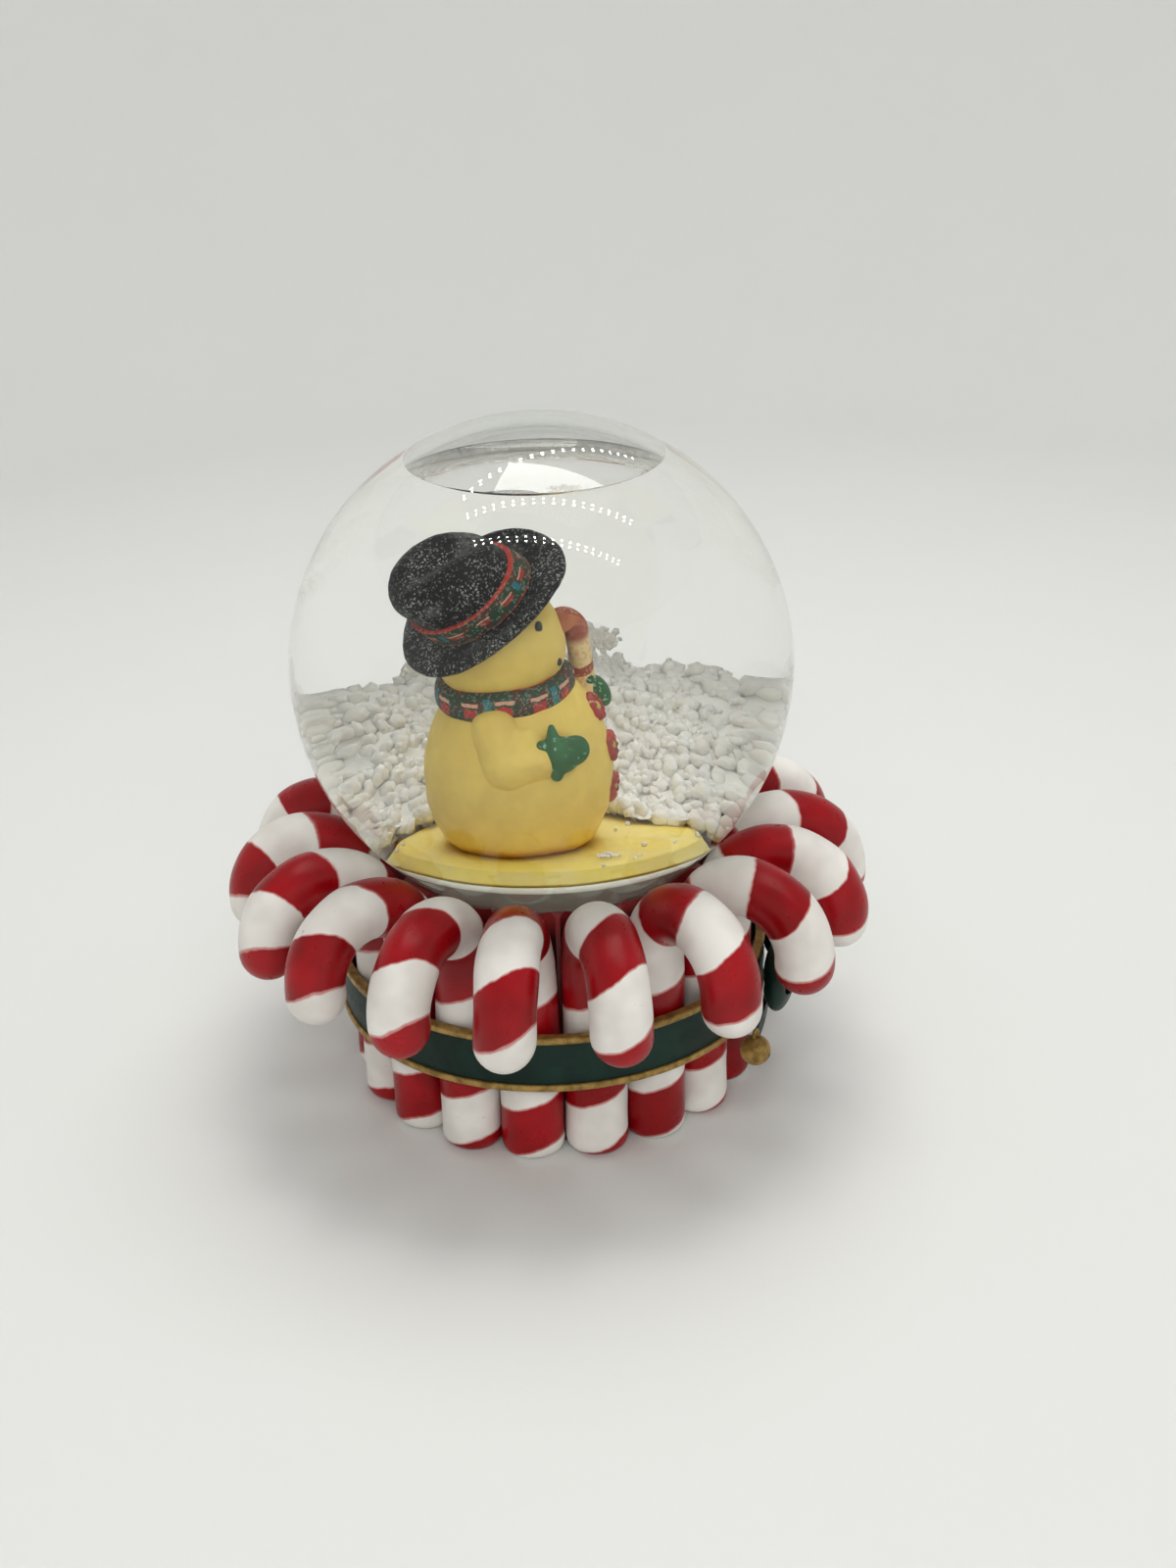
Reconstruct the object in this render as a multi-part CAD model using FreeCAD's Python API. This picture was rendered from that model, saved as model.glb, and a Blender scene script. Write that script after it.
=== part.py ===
"""Candy cane snow globe with a snowman, a ribbon band and a wind-up music movement. Millimetres, +Z up.

Origin: centre of the foot ring, on the surface the globe stands on. The bow is on the -Y side.
"""
import FreeCAD
import Part
import math
import os

V = FreeCAD.Vector
X_AXIS, Y_AXIS, Z_AXIS = V(1, 0, 0), V(0, 1, 0), V(0, 0, 1)
ORIGIN = V(0, 0, 0)

# Globe
GLOBE_Z = 89.2
GLOBE_R = 50.0
GLASS_WALL = 2.5
NECK_R = 29.0
NECK_WALL = 2.4
NECK_END_Z = 40.2
WATER_LINE_Z = GLOBE_Z + 41.0
FILL_GAP = 0.1

# Ring of candy canes
CANE_COUNT = 18
CANE_R = 6.0
CANE_RING_R = 37.0
HOOK_R = 12.0
HOOK_SPRING_Z = 41.0
HOOK_DROP = 1.2
CANE_FOOT_ROUND = 2.2

# Base casting inside the canes
CORE_R = 35.2
CORE_TOP_Z = 51.0
CORE_FIT = 0.1
CAVITY_R = 27.0
LEDGE_Z = 37.6
RECESS_R = 28.5
COVER_SEAT_Z = 12.6
COVER_T = 1.5

# Ribbon band round the canes
BAND_INNER_R = CANE_RING_R + CANE_R + 0.2
BAND_T = 1.3
BAND_CROWN = 0.5
TRIM_T = 1.9
TRIM_H = 1.5
BAND_LOW_Z = 18.0
BAND_HIGH_Z = 30.1

# Bow and bells
BOW_Z = 24.0
BOW_R = 46.2
BELL_R = 3.2
BELL_WALL = 0.9
BELL_Z = 12.5

# Plug and scenery
PLUG_FLANGE_T = 2.5
PLUG_TOP_Z = 58.6
SLAB_TOP_Z = 62.0
SLAB_LOW_R = 24.2
SLAB_TOP_R = 22.4

# Snowman, in its own frame: origin under its body on the slab, facing -Y
FIGURE_TURN = 5.0
FIGURE_Y = 4.0
BODY_FOOT_R = 10.0
BODY_R = 13.8
BODY_WIDE_H = 10.5
BODY_H = 25.5
BODY_NECK_R = 7.6
HEAD_R = 10.0
HEAD_BACK = 2.4
HEAD_H = 31.0
SCARF_H = 23.6
SCARF_R = 8.4
SCARF_SECTION = 2.4
SCARF_TILT = 6.0
HAT_BACK = 4.6
HAT_H = 37.6
HAT_TILT = 34.0
BRIM_R = 14.6
BRIM_T = 1.7
CROWN_R = 9.3
CROWN_H = 12.5
CROWN_ROUND = 4.8
HAT_BAND_H = 3.8
HAT_BAND_T = 0.6
HELD_R = 1.75
HELD_SHAFT = 13.2
HELD_HOOK_R = 1.9
HELD_X = 4.6
HELD_Y = -12.6
HELD_H = 16.4
HELD_LEAN = 6.0
HELD_TURN = 168.0

# Music movement: the arbor stands on the origin axis
BED_T = 2.0
ARBOR_R = 2.5
ARBOR_FIT = 0.08
DRUM_R = 7.6
WHEEL_R = 10.4
WHEEL_TEETH = 48
PINION_R = 3.6
PINION_TEETH = 14
CYLINDER_R = 4.1
CYLINDER_Z = 20.2
CYLINDER_FROM = 12.2
CYLINDER_TO = 23.2
SHAFT_R = 0.8
SHAFT_FIT = 0.05
COMB_TEETH = 18
FAN_X = -15.0
FAN_Y = 8.0
FAN_R = 4.4

PARTS = {}


def add(name, shape):
    """Keep a finished sub-part under its node name."""
    PARTS[name] = shape.removeSplitter()


def cylinder(radius, low, high, x=0.0, y=0.0):
    return Part.makeCylinder(radius, high - low, V(x, y, low))


def ring(inner, outer, low, high):
    return cylinder(outer, low, high).cut(cylinder(inner, low - 1, high + 1))


def block(x0, x1, y0, y1, z0, z1):
    return Part.makeBox(x1 - x0, y1 - y0, z1 - z0, V(x0, y0, z0))


def turned(shape, degrees, axis=Z_AXIS, centre=ORIGIN):
    copy = shape.copy()
    copy.rotate(centre, axis, degrees)
    return copy


def moved(shape, x=0.0, y=0.0, z=0.0):
    copy = shape.copy()
    copy.translate(V(x, y, z))
    return copy


def ellipsoid(rx, ry, rz, x, y, z):
    """Unit ball stretched along the axes, then placed."""
    matrix = FreeCAD.Matrix()
    matrix.scale(rx, ry, rz)
    return moved(Part.makeSphere(1.0).transformGeometry(matrix), x, y, z)


def capsule(start, end, radius):
    """Round bar between two points, with ball ends."""
    axis = end - start
    bar = Part.makeCylinder(radius, axis.Length, start, axis)
    return bar.fuse([Part.makeSphere(radius, start), Part.makeSphere(radius, end)])


def mitten(palm_at, thumb_to, size):
    """Rounded palm block with a thumb."""
    wide, deep, tall = size
    palm = block(-wide / 2, wide / 2, -deep / 2, deep / 2, -tall / 2, tall / 2)
    palm = palm.makeFillet(0.42 * wide, palm.Edges)
    palm = moved(palm, palm_at.x, palm_at.y, palm_at.z)
    return palm.fuse(capsule(palm_at, thumb_to, 0.26 * wide))


def revolved(edges):
    """Solid of revolution about Z from edges drawn in the XZ plane."""
    return Part.Face(Part.Wire(edges)).revolve(ORIGIN, Z_AXIS, 360)


def line(a, b):
    return Part.LineSegment(V(a[0], 0, a[1]), V(b[0], 0, b[1])).toShape()


def arc(a, b, c):
    return Part.Arc(V(a[0], 0, a[1]), V(b[0], 0, b[1]), V(c[0], 0, c[1])).toShape()


def globe_ball(radius):
    return Part.makeSphere(radius, V(0, 0, GLOBE_Z))


def hooked_rod(radius, spring_z, hook_r, drop, low=0.0):
    """Upright rod that bends over toward -Y in a half circle and ends in a rounded tip."""
    shaft = Part.makeCylinder(radius, spring_z - low, V(0, 0, low))
    section = Part.Face(Part.Wire(Part.Circle(V(0, 0, spring_z), Z_AXIS, radius).toShape()))
    bend = section.revolve(V(0, -hook_r, spring_z), X_AXIS, 180)
    tail = Part.makeCylinder(radius, drop, V(0, -2 * hook_r, spring_z - drop))
    tip = Part.makeSphere(radius, V(0, -2 * hook_r, spring_z - drop))
    return shaft, bend, tail, tip


def make_canes():
    """Eighteen identical candy canes, standing in a ring with their hooks outward."""
    shaft, bend, tail, tip = hooked_rod(CANE_R, HOOK_SPRING_Z, HOOK_R, HOOK_DROP)
    foot_edge = [edge for edge in shaft.Edges if edge.BoundBox.ZMax < 1e-6]
    shaft = shaft.makeFillet(CANE_FOOT_ROUND, foot_edge)
    cane = moved(shaft.fuse([bend, tail, tip]), y=-CANE_RING_R)
    for index in range(CANE_COUNT):
        add(f"cane_{index + 1:02d}", turned(cane, index * 360.0 / CANE_COUNT))


def make_base_core():
    """Hollow casting with a flute behind each cane, a cup for the globe and a recess underneath."""
    core = cylinder(CORE_R, 0, CORE_TOP_Z)
    flute = cylinder(CANE_R + CORE_FIT, -1, CORE_TOP_Z + 1, y=-CANE_RING_R)
    flutes = [turned(flute, index * 360.0 / CANE_COUNT) for index in range(CANE_COUNT)]
    core = core.cut(flutes)
    hollows = [
        cylinder(RECESS_R, -1, COVER_SEAT_Z),
        cylinder(CAVITY_R, -1, CORE_TOP_Z),
        cylinder(NECK_R + CORE_FIT, LEDGE_Z, CORE_TOP_Z + 1),
        globe_ball(GLOBE_R + 0.3),
    ]
    add("base_core", core.cut(hollows))


def make_band():
    """Green ribbon with a slightly crowned face between two gold trims."""
    outer = BAND_INNER_R + BAND_T
    low, high = BAND_LOW_Z + TRIM_H, BAND_HIGH_Z - TRIM_H
    ribbon = revolved([
        line((BAND_INNER_R, low), (outer, low)),
        arc((outer, low), (outer + BAND_CROWN, (low + high) / 2), (outer, high)),
        line((outer, high), (BAND_INNER_R, high)),
        line((BAND_INNER_R, high), (BAND_INNER_R, low)),
    ])
    add("ribbon_band", ribbon)
    for name, bottom in (("gold_trim_lower", BAND_LOW_Z), ("gold_trim_upper", high)):
        trim = ring(BAND_INNER_R, BAND_INNER_R + TRIM_T, bottom, bottom + TRIM_H)
        edges = [edge for edge in trim.Edges if edge.BoundBox.XLength > 2 * BAND_INNER_R + TRIM_T]
        add(name, trim.makeFillet(0.5, edges))


def on_band(angle, radius, z):
    """Point at an angle from the front, counted positive toward +X."""
    turn = math.radians(angle)
    return V(radius * math.sin(turn), -radius * math.cos(turn), z)


def strip(points, height_low, height_high, thickness):
    """Ribbon of constant thickness round part of the band; points are (angle, radius, z)."""
    sections = []
    for angle, radius, z in points:
        inner = [on_band(angle, radius, z - height_low), on_band(angle, radius, z + height_high)]
        outer = [on_band(angle, radius + thickness, z + height_high),
                 on_band(angle, radius + thickness, z - height_low)]
        sections.append(Part.makePolygon(inner + outer + inner[:1]))
    return Part.makeLoft(sections, True, False)


def make_bow():
    """Two flat loops, a knot, two tails and a jingle bell at the end of each tail."""
    for name, side in (("bow_loop_left", -1), ("bow_loop_right", 1)):
        loop = ellipsoid(10.0, 3.3, 7.4, 0, 0, 0)
        hollow = ellipsoid(7.8, 4.8, 3.4, side * 0.6, 0, 0)
        loop = moved(loop.cut(hollow), y=-BOW_R - 2.6, z=BOW_Z)
        loop = turned(loop, side * 17.0)
        add(name, loop)
    knot = ellipsoid(3.4, 3.0, 4.2, 0, -BOW_R - 2.2, BOW_Z)
    add("bow_knot", knot.cut([PARTS["bow_loop_left"], PARTS["bow_loop_right"]]))
    for name, side in (("bow_tail_left", -1), ("bow_tail_right", 1)):
        path = [(side * angle, BAND_INNER_R + TRIM_T + 0.3, BOW_Z - 4.0 - 0.22 * angle)
                for angle in range(4, 29, 3)]
        tail = strip(path, 2.2, 1.2, 0.9)
        blockers = [PARTS["bow_loop_left"], PARTS["bow_loop_right"], PARTS["bow_knot"]]
        add(name, tail.cut(blockers))
    for name, side in (("jingle_bell_left", -1), ("jingle_bell_right", 1)):
        angle = side * 32.5
        centre = on_band(angle, BAND_INNER_R + TRIM_T + BELL_R - 0.9, BELL_Z)
        bell = Part.makeSphere(BELL_R, centre)
        bell = bell.cut(Part.makeSphere(BELL_R - BELL_WALL, centre))
        slit = turned(block(-0.35, 0.35, -BELL_R - 1, BELL_R + 1, -BELL_R - 1, 0), angle)
        bell = bell.cut(moved(slit, centre.x, centre.y, centre.z))
        eye = Part.makeTorus(0.9, 0.35, ORIGIN, turned_axis(angle))
        bell = bell.fuse(moved(eye, centre.x, centre.y, centre.z + BELL_R + 0.55))
        add(name, bell)


def turned_axis(angle):
    """Radial direction at an angle from the front."""
    return on_band(angle, 1.0, 0.0)


def make_globe():
    """Glass ball with a short open neck, closed from below by a flanged plug."""
    inside_neck = NECK_R - NECK_WALL
    outside = globe_ball(GLOBE_R).fuse(cylinder(NECK_R, NECK_END_Z, GLOBE_Z))
    inside = globe_ball(GLOBE_R - GLASS_WALL).fuse(cylinder(inside_neck, NECK_END_Z - 1, GLOBE_Z))
    glass = outside.cut(inside)
    add("globe_glass", glass)
    plug = cylinder(inside_neck - FILL_GAP, NECK_END_Z, PLUG_TOP_Z)
    top_edge = [edge for edge in plug.Edges if edge.BoundBox.ZMin > PLUG_TOP_Z - 1e-6]
    plug = plug.makeFillet(1.4, top_edge)
    flange = cylinder(NECK_R, NECK_END_Z - PLUG_FLANGE_T, NECK_END_Z)
    add("globe_plug", plug.fuse(flange))


def make_scenery():
    """Bevelled yellow slab on the plug, and the settled flakes behind it."""
    slab = Part.makeCone(SLAB_LOW_R, SLAB_TOP_R, SLAB_TOP_Z - PLUG_TOP_Z, V(0, 0, PLUG_TOP_Z))
    rim = [edge for edge in slab.Edges if edge.BoundBox.ZMin > SLAB_TOP_Z - 1e-6]
    add("scenic_slab", slab.makeFillet(0.8, rim))
    heap = globe_ball(GLOBE_R - GLASS_WALL - 0.2)
    wedge = Part.Face(Part.makePolygon([
        V(8, -60, 40), V(60, -60, 40), V(60, -60, 80), V(34, -60, 74), V(8, -60, 63), V(8, -60, 40),
    ])).extrude(V(0, 120, 0))
    heap = heap.common(wedge)
    keep_out = [cylinder(NECK_R - NECK_WALL + 0.2, 30, PLUG_TOP_Z), PARTS["scenic_slab"],
                cylinder(BODY_R + 4.0, PLUG_TOP_Z, 90, y=FIGURE_Y)]
    add("snow_flakes", heap.cut(keep_out))


def placed_figure(shape):
    return moved(turned(shape, FIGURE_TURN), y=FIGURE_Y, z=SLAB_TOP_Z)


def body_radius(height):
    """Radius of the snowman's body on the arc through its foot, widest and neck points."""
    circle = body_side().Curve
    return circle.Center.x + math.sqrt(circle.Radius ** 2 - (height - circle.Center.z) ** 2)


def body_side():
    return arc((BODY_FOOT_R, 0), (BODY_R, BODY_WIDE_H), (BODY_NECK_R, BODY_H))


def make_figure():
    """Snowman looking up past a tilted hat, a small candy cane in its left mitten."""
    body = revolved([
        line((0, 0), (BODY_FOOT_R, 0)),
        body_side(),
        line((BODY_NECK_R, BODY_H), (0, BODY_H)),
        line((0, BODY_H), (0, 0)),
    ])
    head = ellipsoid(HEAD_R, HEAD_R, HEAD_R - 0.4, 0, HEAD_BACK, HEAD_H)
    scarf = Part.makeTorus(SCARF_R, SCARF_SECTION, V(0, HEAD_BACK * 0.7, SCARF_H))
    scarf = turned(scarf, -SCARF_TILT, X_AXIS, V(0, 0, SCARF_H))

    # Hat pieces are drawn upright at the origin, then tilted back and set on the head.
    def on_head(shape):
        return moved(turned(shape, -HAT_TILT, X_AXIS), y=HAT_BACK, z=HAT_H)

    brim = cylinder(BRIM_R, -BRIM_T / 2, BRIM_T / 2)
    brim = brim.makeFillet(BRIM_T * 0.45, [e for e in brim.Edges if e.BoundBox.ZLength < 1e-6])
    crown = cylinder(CROWN_R, 0, CROWN_H)
    crown = crown.makeFillet(CROWN_ROUND, [e for e in crown.Edges if e.BoundBox.ZMin > CROWN_H - 1e-6])
    band = ring(CROWN_R, CROWN_R + HAT_BAND_T, BRIM_T / 2, BRIM_T / 2 + HAT_BAND_H)
    hat = on_head(brim.fuse(crown))
    hat_band = on_head(band)

    elbow = V(-11.2, 3.4, 14.8)
    right_arm = capsule(V(-9.6, 4.4, 20.2), elbow, 3.6).fuse(capsule(elbow, V(-11.8, -1.6, 15.4), 3.6))
    right_mitten = mitten(V(-12.6, -5.6, 16.6), V(-12.8, -3.8, 21.0), (4.6, 6.8, 8.0))
    left_arm = capsule(V(10.2, 1.0, 20.0), V(9.6, -7.6, 18.8), 4.2)
    left_mitten = mitten(V(6.6, -13.2, 19.2), V(4.2, -13.8, 21.6), (5.0, 5.4, 7.0))

    def in_left_hand(shape):
        leaning = turned(turned(shape, HELD_TURN), -HELD_LEAN, X_AXIS)
        return moved(leaning, HELD_X, HELD_Y, HELD_H)

    shaft, bend, tail, tip = hooked_rod(HELD_R, HELD_SHAFT, HELD_HOOK_R, 1.0)
    held = in_left_hand(shaft.fuse([bend, tail, tip]))
    grip = in_left_hand(shaft)

    nose = Part.makeCone(1.7, 0.6, 3.4, V(0, HEAD_BACK - HEAD_R + 0.8, HEAD_H + 2.6), V(0, -1, 0.12))
    coal_at = [(-6.8, 5.0), (6.8, 5.0), (-5.2, -1.6), (-3.0, -3.2), (0.0, -3.9), (3.0, -3.2), (5.2, -1.6)]
    coals = []
    for index, (across, up) in enumerate(coal_at):
        size = 1.1 if index < 2 else 0.7
        ahead = math.sqrt(HEAD_R ** 2 - across ** 2 - up ** 2)
        coals.append(Part.makeSphere(size, V(across, HEAD_BACK - ahead, HEAD_H + up)))

    # Whole shapes, before they are carved to meet each other, are what displaces the water.
    blanks = [body, head, scarf, hat, hat_band, right_arm, right_mitten, left_arm, left_mitten, held, nose]
    blanks += coals

    # Each piece gives way to the ones that sit over it.
    hat = hat.cut(band_relief(on_head))
    head = head.cut([hat, scarf, body])
    nose = nose.cut(head)
    body = body.cut([scarf])
    scarf = scarf.cut([head, body])
    coals = [coal.cut([head, hat, scarf]) for coal in coals]
    right_arm = right_arm.cut([body, scarf])
    left_arm = left_arm.cut([body, scarf])
    right_mitten = right_mitten.cut([right_arm, body])
    held = held.cut([body, head, nose] + coals)
    left_mitten = left_mitten.cut([left_arm, body, grip])
    left_arm = left_arm.cut(grip)

    figure = {
        "snowman_body": body, "snowman_head": head, "scarf": scarf, "hat": hat, "hat_band": hat_band,
        "right_arm": right_arm, "left_arm": left_arm, "right_mitten": right_mitten,
        "left_mitten": left_mitten, "held_candy_cane": held, "carrot_nose": nose,
        "coal_face": Part.makeCompound(coals),
    }
    solids = list(figure.values())
    for index, height in enumerate((20.4, 14.2, 8.0)):
        place = V(0, -body_radius(height), height)
        slope = (body_radius(height - 0.5) - body_radius(height + 0.5))
        out = V(0, -1, slope)
        wreath = Part.makeTorus(1.5, 0.8, place, out).fuse(Part.makeSphere(0.9, place))
        blanks.append(wreath)
        figure[f"wreath_button_{index + 1}"] = wreath.cut(solids)
    for name, shape in figure.items():
        add(name, placed_figure(shape))
    return [placed_figure(blank) for blank in blanks]


def band_relief(on_head):
    """Shallow groove in the crown where the hat band lies."""
    groove = ring(CROWN_R - 0.01, CROWN_R + 2, BRIM_T / 2, BRIM_T / 2 + HAT_BAND_H)
    return on_head(groove)


def make_water(figure_blanks):
    """Water round everything in the globe, up to the flat surface under the air bubble."""
    water = globe_ball(GLOBE_R - GLASS_WALL - FILL_GAP)
    above = block(-60, 60, -60, 60, WATER_LINE_Z, WATER_LINE_Z + 40)
    below = cylinder(NECK_R - NECK_WALL, 0, PLUG_TOP_Z)
    neck_z = GLOBE_Z - math.sqrt((GLOBE_R - GLASS_WALL) ** 2 - NECK_R ** 2) + 1.4
    under = block(-60, 60, -60, 60, 0, neck_z)
    water = water.cut([above, below, under, PARTS["scenic_slab"], PARTS["snow_flakes"]])
    for blank in figure_blanks:
        water = water.cut(blank)
    add("water", water)


def make_cover():
    """Round plate in the recess, with a clear hole for the key and three screw holes."""
    cover = cylinder(RECESS_R - 0.2, COVER_SEAT_Z - COVER_T, COVER_SEAT_Z)
    holes = [cylinder(ARBOR_R + 0.8, 0, COVER_SEAT_Z + 1)]
    holes += [cylinder(1.05, 0, COVER_SEAT_Z + 1, x, y) for x, y in screw_places()]
    add("bottom_cover", cover.cut(holes))
    screws = []
    for x, y in screw_places():
        head = cylinder(2.0, COVER_SEAT_Z - COVER_T - 1.3, COVER_SEAT_Z - COVER_T, x, y)
        shank = cylinder(1.0, COVER_SEAT_Z - COVER_T, COVER_SEAT_Z + BED_T, x, y)
        slot = block(x - 0.3, x + 0.3, y - 3, y + 3, COVER_SEAT_Z - COVER_T - 2, COVER_SEAT_Z - COVER_T - 0.8)
        screws.append(head.fuse(shank).cut(slot))
    add("movement_screws", Part.makeCompound(screws))


def screw_places():
    return [(-16.0, -11.0), (15.0, -11.0), (-6.0, 13.0)]


def toothed_wheel(radius, teeth, low, high, tooth=0.7):
    wheel = cylinder(radius - tooth, low, high)
    width = math.pi * radius / teeth
    bar = block(radius - 2 * tooth, radius, -width / 2, width / 2, low, high)
    return wheel.fuse([turned(bar, index * 360.0 / teeth) for index in range(teeth)])


def make_movement():
    """Bedplate with bearings, steel comb, pinned cylinder, spring drum on the key's arbor, air brake."""
    bed_low, bed_high = COVER_SEAT_Z, COVER_SEAT_Z + BED_T
    bed = block(-21, 25, -15, 15, bed_low, bed_high).common(cylinder(CAVITY_R - 0.4, bed_low, bed_high))
    near_post = block(10.9, 11.9, -2.5, 2.5, bed_high, CYLINDER_Z + 2.5)
    far_post = block(23.6, 24.8, -2.5, 2.5, bed_high, CYLINDER_Z + 2.5)
    comb_seat = block(12.4, 23.2, 8.6, 12.6, bed_high, CYLINDER_Z - 0.4)
    bearing = Part.makeCylinder(SHAFT_R + SHAFT_FIT, 30, V(0, 0, CYLINDER_Z), X_AXIS)
    holes = [bearing, cylinder(ARBOR_R + ARBOR_FIT, 0, bed_high + 1)]
    holes += [cylinder(1.02, 0, bed_high + 1, x, y) for x, y in screw_places()]
    add("bedplate", bed.fuse([near_post, far_post, comb_seat]).cut(holes))

    comb_back = block(12.4, 23.2, 8.4, 12.6, CYLINDER_Z - 0.4, CYLINDER_Z + 0.4)
    pitch = (23.2 - 12.4) / COMB_TEETH
    teeth = [block(12.4 + pitch * (i + 0.15), 12.4 + pitch * (i + 0.85), CYLINDER_R + 0.75, 9.0,
                   CYLINDER_Z - 0.3, CYLINDER_Z + 0.3) for i in range(COMB_TEETH)]
    add("music_comb", comb_back.fuse(teeth))

    shaft = Part.makeCylinder(SHAFT_R, 16.2, V(8.4, 0, CYLINDER_Z), X_AXIS)
    drum = Part.makeCylinder(CYLINDER_R, CYLINDER_TO - CYLINDER_FROM, V(CYLINDER_FROM, 0, CYLINDER_Z), X_AXIS)
    pinion = toothed_wheel(PINION_R, PINION_TEETH, 0, 1.4, 0.6)
    pinion = moved(turned(pinion, 90, Y_AXIS), 9.0, 0, CYLINDER_Z)
    pins = []
    for row in range(COMB_TEETH):
        for step in range(3):
            around = math.radians(row * 97 + step * 131)
            out = V(0, math.cos(around), math.sin(around))
            root = V(12.4 + pitch * (row + 0.5), 0, CYLINDER_Z) + out * (CYLINDER_R - 0.5)
            pins.append(Part.makeCylinder(0.15, 0.9, root, out))
    add("pinned_cylinder", drum.fuse([shaft, pinion] + pins))

    wheel_low = bed_high + 0.3
    barrel = toothed_wheel(WHEEL_R, WHEEL_TEETH, wheel_low, wheel_low + 1.0)
    barrel = barrel.fuse(cylinder(DRUM_R, wheel_low + 1.0, wheel_low + 9.5))
    add("spring_barrel", barrel.cut(cylinder(ARBOR_R, 0, wheel_low + 8.0)))

    wings = block(-8.5, 8.5, -1.3, 1.3, 1.2, 7.6)
    wings = wings.makeFillet(2.4, [e for e in wings.Edges if e.BoundBox.YLength > 2.5])
    hub = cylinder(3.6, 3.0, 9.6)
    stem = cylinder(ARBOR_R, 9.0, wheel_low + 8.0)
    add("winding_key", wings.fuse([hub, stem]))

    foot = block(FAN_X - 2, FAN_X + 2, FAN_Y - 6.4, FAN_Y - 5.0, bed_high, 27.2)
    top_arm = block(FAN_X - 2, FAN_X + 2, FAN_Y - 5.0, FAN_Y + 1.6, 25.8, 27.2)
    low_arm = block(FAN_X - 2, FAN_X + 2, FAN_Y - 5.0, FAN_Y + 1.6, bed_high, bed_high + 1.2)
    pivot = cylinder(SHAFT_R + SHAFT_FIT, bed_high + 0.4, 28, FAN_X, FAN_Y)
    add("governor_bracket", foot.fuse([top_arm, low_arm]).cut(pivot))
    spindle = cylinder(SHAFT_R, bed_high + 0.5, 26.8)
    vane = block(-FAN_R, FAN_R, -0.25, 0.25, 18.0, 24.0)
    worm = cylinder(1.3, 16.2, 17.8)
    add("governor_fan", moved(spindle.fuse([vane, worm]), FAN_X, FAN_Y))


def main():
    make_canes()
    make_base_core()
    make_band()
    make_bow()
    make_globe()
    make_scenery()
    make_water(make_figure())
    make_cover()
    make_movement()
    os.makedirs("parts", exist_ok=True)
    for name, shape in PARTS.items():
        shape.exportStep(os.path.join("parts", name + ".step"))
    whole = FreeCAD.BoundBox()
    for shape in PARTS.values():
        whole.add(shape.BoundBox)
    print(len(PARTS), "parts", [round(v, 2) for v in (whole.XMin, whole.XMax, whole.YMin, whole.YMax,
                                                       whole.ZMin, whole.ZMax)])


main()
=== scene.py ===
import math
import random

import bpy
import numpy as np
from mathutils import Matrix, Vector, noise


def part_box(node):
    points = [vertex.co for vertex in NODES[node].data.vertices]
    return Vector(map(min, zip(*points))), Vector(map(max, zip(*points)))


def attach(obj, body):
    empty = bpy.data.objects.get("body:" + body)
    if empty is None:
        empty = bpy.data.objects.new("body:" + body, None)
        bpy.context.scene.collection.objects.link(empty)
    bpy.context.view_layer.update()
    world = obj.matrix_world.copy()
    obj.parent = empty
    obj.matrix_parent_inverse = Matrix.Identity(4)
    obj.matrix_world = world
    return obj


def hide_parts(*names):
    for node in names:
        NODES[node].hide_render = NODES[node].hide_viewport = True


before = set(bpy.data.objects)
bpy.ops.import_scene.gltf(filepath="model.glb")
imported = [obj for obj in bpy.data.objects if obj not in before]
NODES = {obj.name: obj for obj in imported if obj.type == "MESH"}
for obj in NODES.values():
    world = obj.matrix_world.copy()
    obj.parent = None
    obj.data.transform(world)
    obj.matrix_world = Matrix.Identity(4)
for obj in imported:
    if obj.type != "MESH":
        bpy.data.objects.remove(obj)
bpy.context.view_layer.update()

MM = 0.001
ROOT = "globe_and_base"
TAU = 2 * math.pi

# ---------------------------------------------------------------- sizes, in millimetres


def extent(node):
    low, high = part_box(node)
    return low / MM, high / MM


CANE_COUNT = 18
cane_low, cane_high = extent("cane_01")
CANE_R = (cane_high.x - cane_low.x) / 2
CANE_RING_R = CANE_R - cane_high.y
HOOK_R = (-cane_low.y - CANE_R - CANE_RING_R) / 2
HOOK_SPRING_Z = cane_high.z - HOOK_R - CANE_R
HOOK_DROP = 1.2
FOOT_ROUND = 2.2

glass_low, glass_high = extent("globe_glass")
GLOBE_R = (glass_high.x - glass_low.x) / 2
GLOBE_Z = glass_high.z - GLOBE_R
GLASS_WALL = 2.5
NECK_END_Z = glass_low.z
NECK_R = 29.0
NECK_WALL = 2.4
WATER_LINE_Z = extent("water")[1].z

slab_low, slab_high = extent("scenic_slab")
SLAB_TOP_Z = slab_high.z
PLUG_TOP_Z = slab_low.z
SLAB_LOW_R = slab_high.x
SLAB_TOP_R = SLAB_LOW_R - 1.8

body_low, body_high = extent("snowman_body")
FIGURE_AT = Vector(((body_low.x + body_high.x) / 2, (body_low.y + body_high.y) / 2, SLAB_TOP_Z))
FIGURE_TURN = math.radians(5.0)

# ---------------------------------------------------------------- mesh helpers


def add_mesh(name, verts, faces, nodes=(), materials=(), body=ROOT):
    """Makes a smooth piece from vertices in millimetres, in the row frame, and puts it on a body."""
    mesh = bpy.data.meshes.new(name)
    mesh.from_pydata([(v[0] * MM, v[1] * MM, v[2] * MM) for v in verts], [], [tuple(f) for f in faces])
    mesh.polygons.foreach_set("use_smooth", [True] * len(mesh.polygons))
    mesh.update()
    piece = bpy.data.objects.new(name, mesh)
    bpy.context.scene.collection.objects.link(piece)
    for material in materials:
        mesh.materials.append(material)
    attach(piece, body)
    if nodes:
        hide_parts(*nodes)
    return piece


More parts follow.
